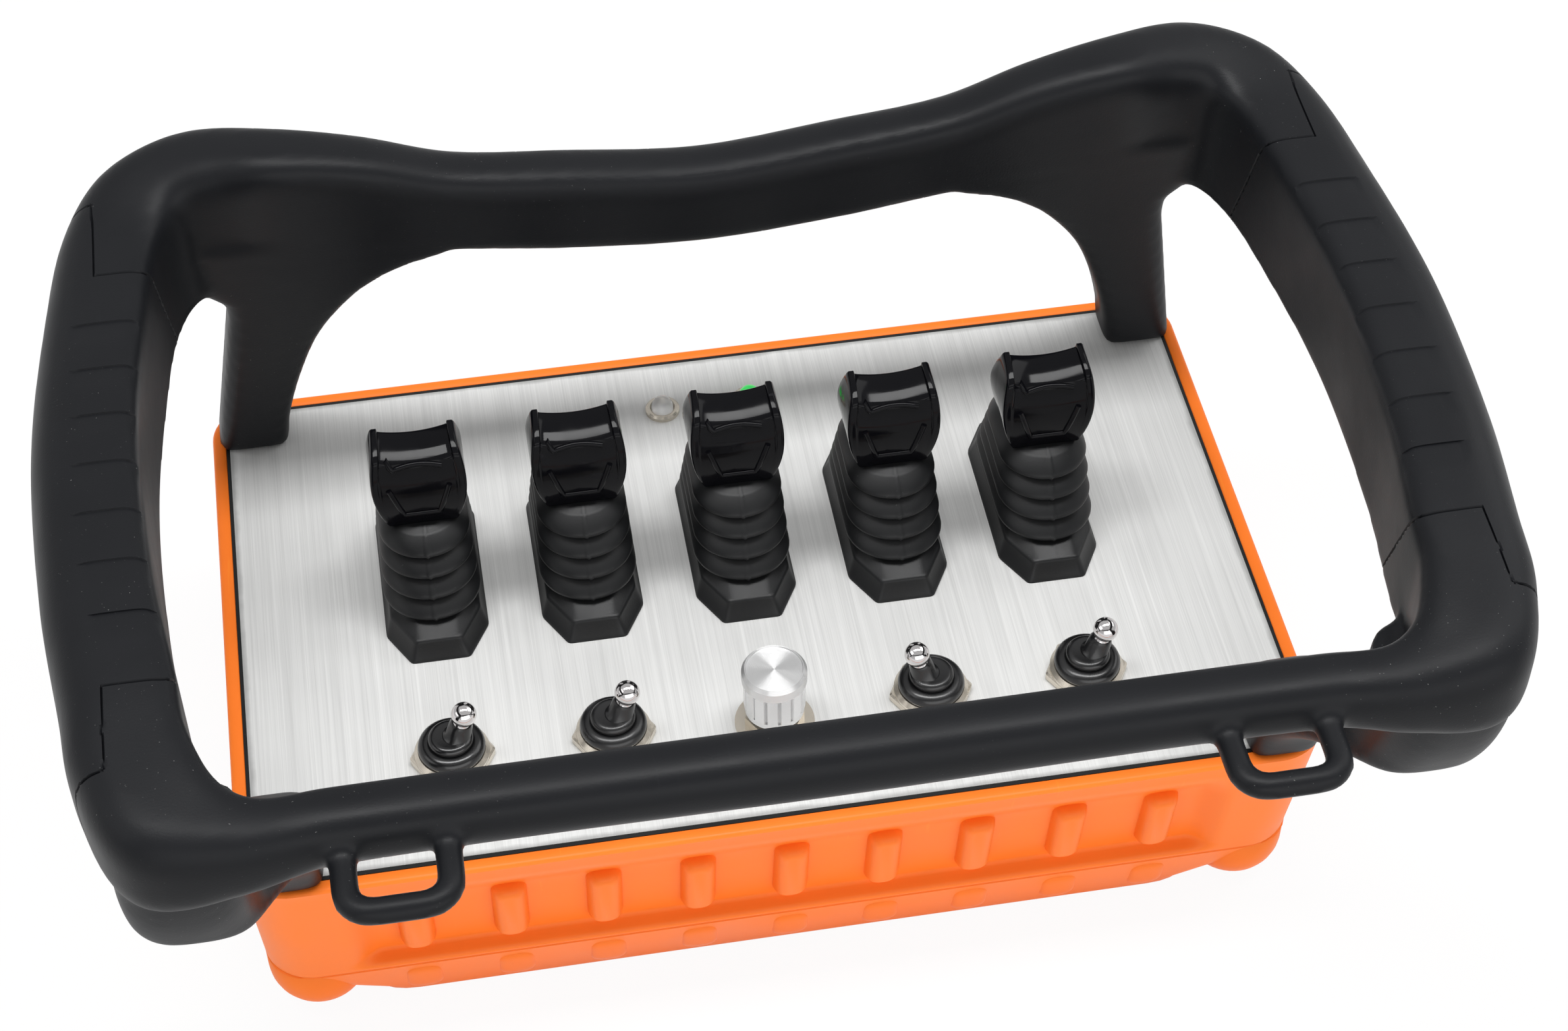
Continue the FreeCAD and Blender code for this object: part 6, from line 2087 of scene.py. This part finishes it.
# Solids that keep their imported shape


@dataclass
class CarriedSolids:
    """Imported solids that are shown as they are, or that lie inside the housing."""

    levers: int = 5
    toggles: int = 4

    def build(self) -> None:
        """Give each carried solid its finish."""
        levers, toggles = range(1, self.levers + 1), range(1, self.toggles + 1)
        dress_solid(["control_panel"], PANEL_STEEL)
        dress_solid(["battery_cover"], HOUSING_ORANGE)
        dress_solid(["frame_screws", "housing_screws", "board_screws", "lever_pins", "return_springs",
                     *(f"lever_shaft_{number}" for number in levers)], PLATED_STEEL)
        dress_solid(["pot_body", *(f"lever_bracket_{number}" for number in levers),
                     *(f"toggle_body_{number}" for number in toggles)], SWITCH_CASE)
        dress_solid(["circuit_board"], BOARD_GREEN)
        dress_solid(["radio_module"], RADIO_TIN)
        dress_solid(["battery_pack"], BATTERY_BLUE)


# Studio


@dataclass(frozen=True)
class Softbox:
    """One soft lamp that faces the remote control; sizes are in millimetres, power in watts."""

    name: str
    position: Place
    width: float
    depth: float
    power: float

    def hang(self) -> None:
        """Hang the lamp in the scene."""
        data = bpy.data.lights.new(self.name, "AREA")
        data.shape = "RECTANGLE"
        data.size, data.size_y = self.width * METRES, self.depth * METRES
        data.energy = self.power
        thing = bpy.data.objects.new(self.name, data)
        place = Vector(self.position) * METRES
        aim = Vector((0.0, 0.0, PANEL_TOP * METRES)) - place
        thing.location = place
        thing.rotation_euler = aim.to_track_quat("-Z", "Y").to_euler()
        bpy.context.scene.collection.objects.link(thing)


SOFTBOXES = (
    Softbox("top_softbox", (0.0, -20.0, 1500.0), 1500.0, 280.0, 22.0),
    Softbox("left_softbox", (-1200.0, -200.0, 900.0), 900.0, 900.0, 3.0),
    Softbox("right_softbox", (1100.0, 300.0, 1000.0), 900.0, 900.0, 5.0),
    Softbox("front_softbox", (300.0, -1500.0, 500.0), 2400.0, 900.0, 13.0),
)


@dataclass
class Studio:
    """Pale floor, soft lamps and the camera of the photograph."""

    lens: float = 68.57
    sensor: float = 36.0
    position: Place = (-68.41, -479.02, 593.09)
    right: Place = (0.98590, -0.16729, -0.00477)
    up: Place = (0.12505, 0.71739, 0.68536)
    floor_half: float = 4000.0
    floor_colour: Colour = (0.92, 0.92, 0.92)
    floor_glow: float = 0.94
    sky: float = 0.27
    mirrored_sky: float = 0.65

    def camera(self) -> None:
        """Place the camera."""
        data = bpy.data.cameras.new("photo_camera")
        data.lens = self.lens
        data.sensor_width = self.sensor
        data.clip_start = 0.01
        thing = bpy.data.objects.new("photo_camera", data)
        right, up = Vector(self.right).normalized(), Vector(self.up).normalized()
        turn = Matrix((right, up, right.cross(up))).transposed().to_4x4()
        thing.matrix_world = Matrix.Translation(Vector(self.position) * METRES) @ turn
        bpy.context.scene.collection.objects.link(thing)
        bpy.context.scene.camera = thing

    def floor(self) -> None:
        """Lay the pale floor, white to the camera and to what reflects it."""
        half = self.floor_half
        shape = Shape()
        corners = rectangle(-half, half, -half, half)
        shape.data.faces.new([shape.data.verts.new((x, y, 0.0)) for x, y in corners])
        thing = add_object("studio_floor", shape.mesh("studio_floor"))
        paint = Paint("studio_floor")
        paint.set(Base_Color=self.floor_colour, Roughness=0.9, Specular_IOR_Level=0.0)
        nodes, links = paint.tree.nodes, paint.tree.links
        path = nodes.new("ShaderNodeLightPath")
        seen = paint.maths("ADD", path.outputs["Is Camera Ray"], path.outputs["Is Transmission Ray"])
        seen = paint.maths("ADD", seen, path.outputs["Is Glossy Ray"])
        glow = nodes.new("ShaderNodeEmission")
        blend = nodes.new("ShaderNodeMixShader")
        links.new(paint.maths("MULTIPLY", seen, self.floor_glow), blend.inputs[0])
        links.new(paint.shader.outputs[0], blend.inputs[1])
        links.new(glow.outputs[0], blend.inputs[2])
        links.new(blend.outputs[0], nodes["Material Output"].inputs["Surface"])
        thing.data.materials.append(paint.material)

    def world(self) -> None:
        """Light the object with a dim sky that looks white to the camera and in reflections."""
        world = bpy.data.worlds.new("studio_sky")
        world.use_nodes = True
        nodes, links = world.node_tree.nodes, world.node_tree.links
        path = nodes.new("ShaderNodeLightPath")
        strength: Socket | None = None
        for ray, level in (("Is Glossy Ray", self.mirrored_sky), ("Is Transmission Ray", 1.0),
                           ("Is Camera Ray", 1.0)):
            step = nodes.new("ShaderNodeMix")
            step.inputs["A"].default_value = self.sky
            step.inputs["B"].default_value = level
            links.new(path.outputs[ray], step.inputs["Factor"])
            if strength is not None:
                links.new(strength, step.inputs["A"])
            strength = step.outputs["Result"]
        links.new(strength, nodes["Background"].inputs["Strength"])
        nodes["Background"].inputs["Color"].default_value = (1.0, 1.0, 1.0, 1.0)
        bpy.context.scene.world = world

    def build(self) -> None:
        """Set up the whole studio."""
        self.camera()
        self.floor()
        self.world()
        for softbox in SOFTBOXES:
            softbox.hang()
        bpy.context.scene.view_settings.view_transform = "Standard"


def main() -> None:
    """Build every sub-assembly; each piece's face count is logged."""
    logging.basicConfig(level=logging.INFO, format="%(name)s %(message)s")
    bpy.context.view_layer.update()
    Studio().build()
    GuardFrame().build()
    Housing().build()
    for number in range(1, PaddleLever(1).count + 1):
        PaddleLever(number).build()
    ToggleRow().build()
    RotaryDial().build()
    SignalLamps().build()
    CarriedSolids().build()


if __name__ == "__main__":
    main()
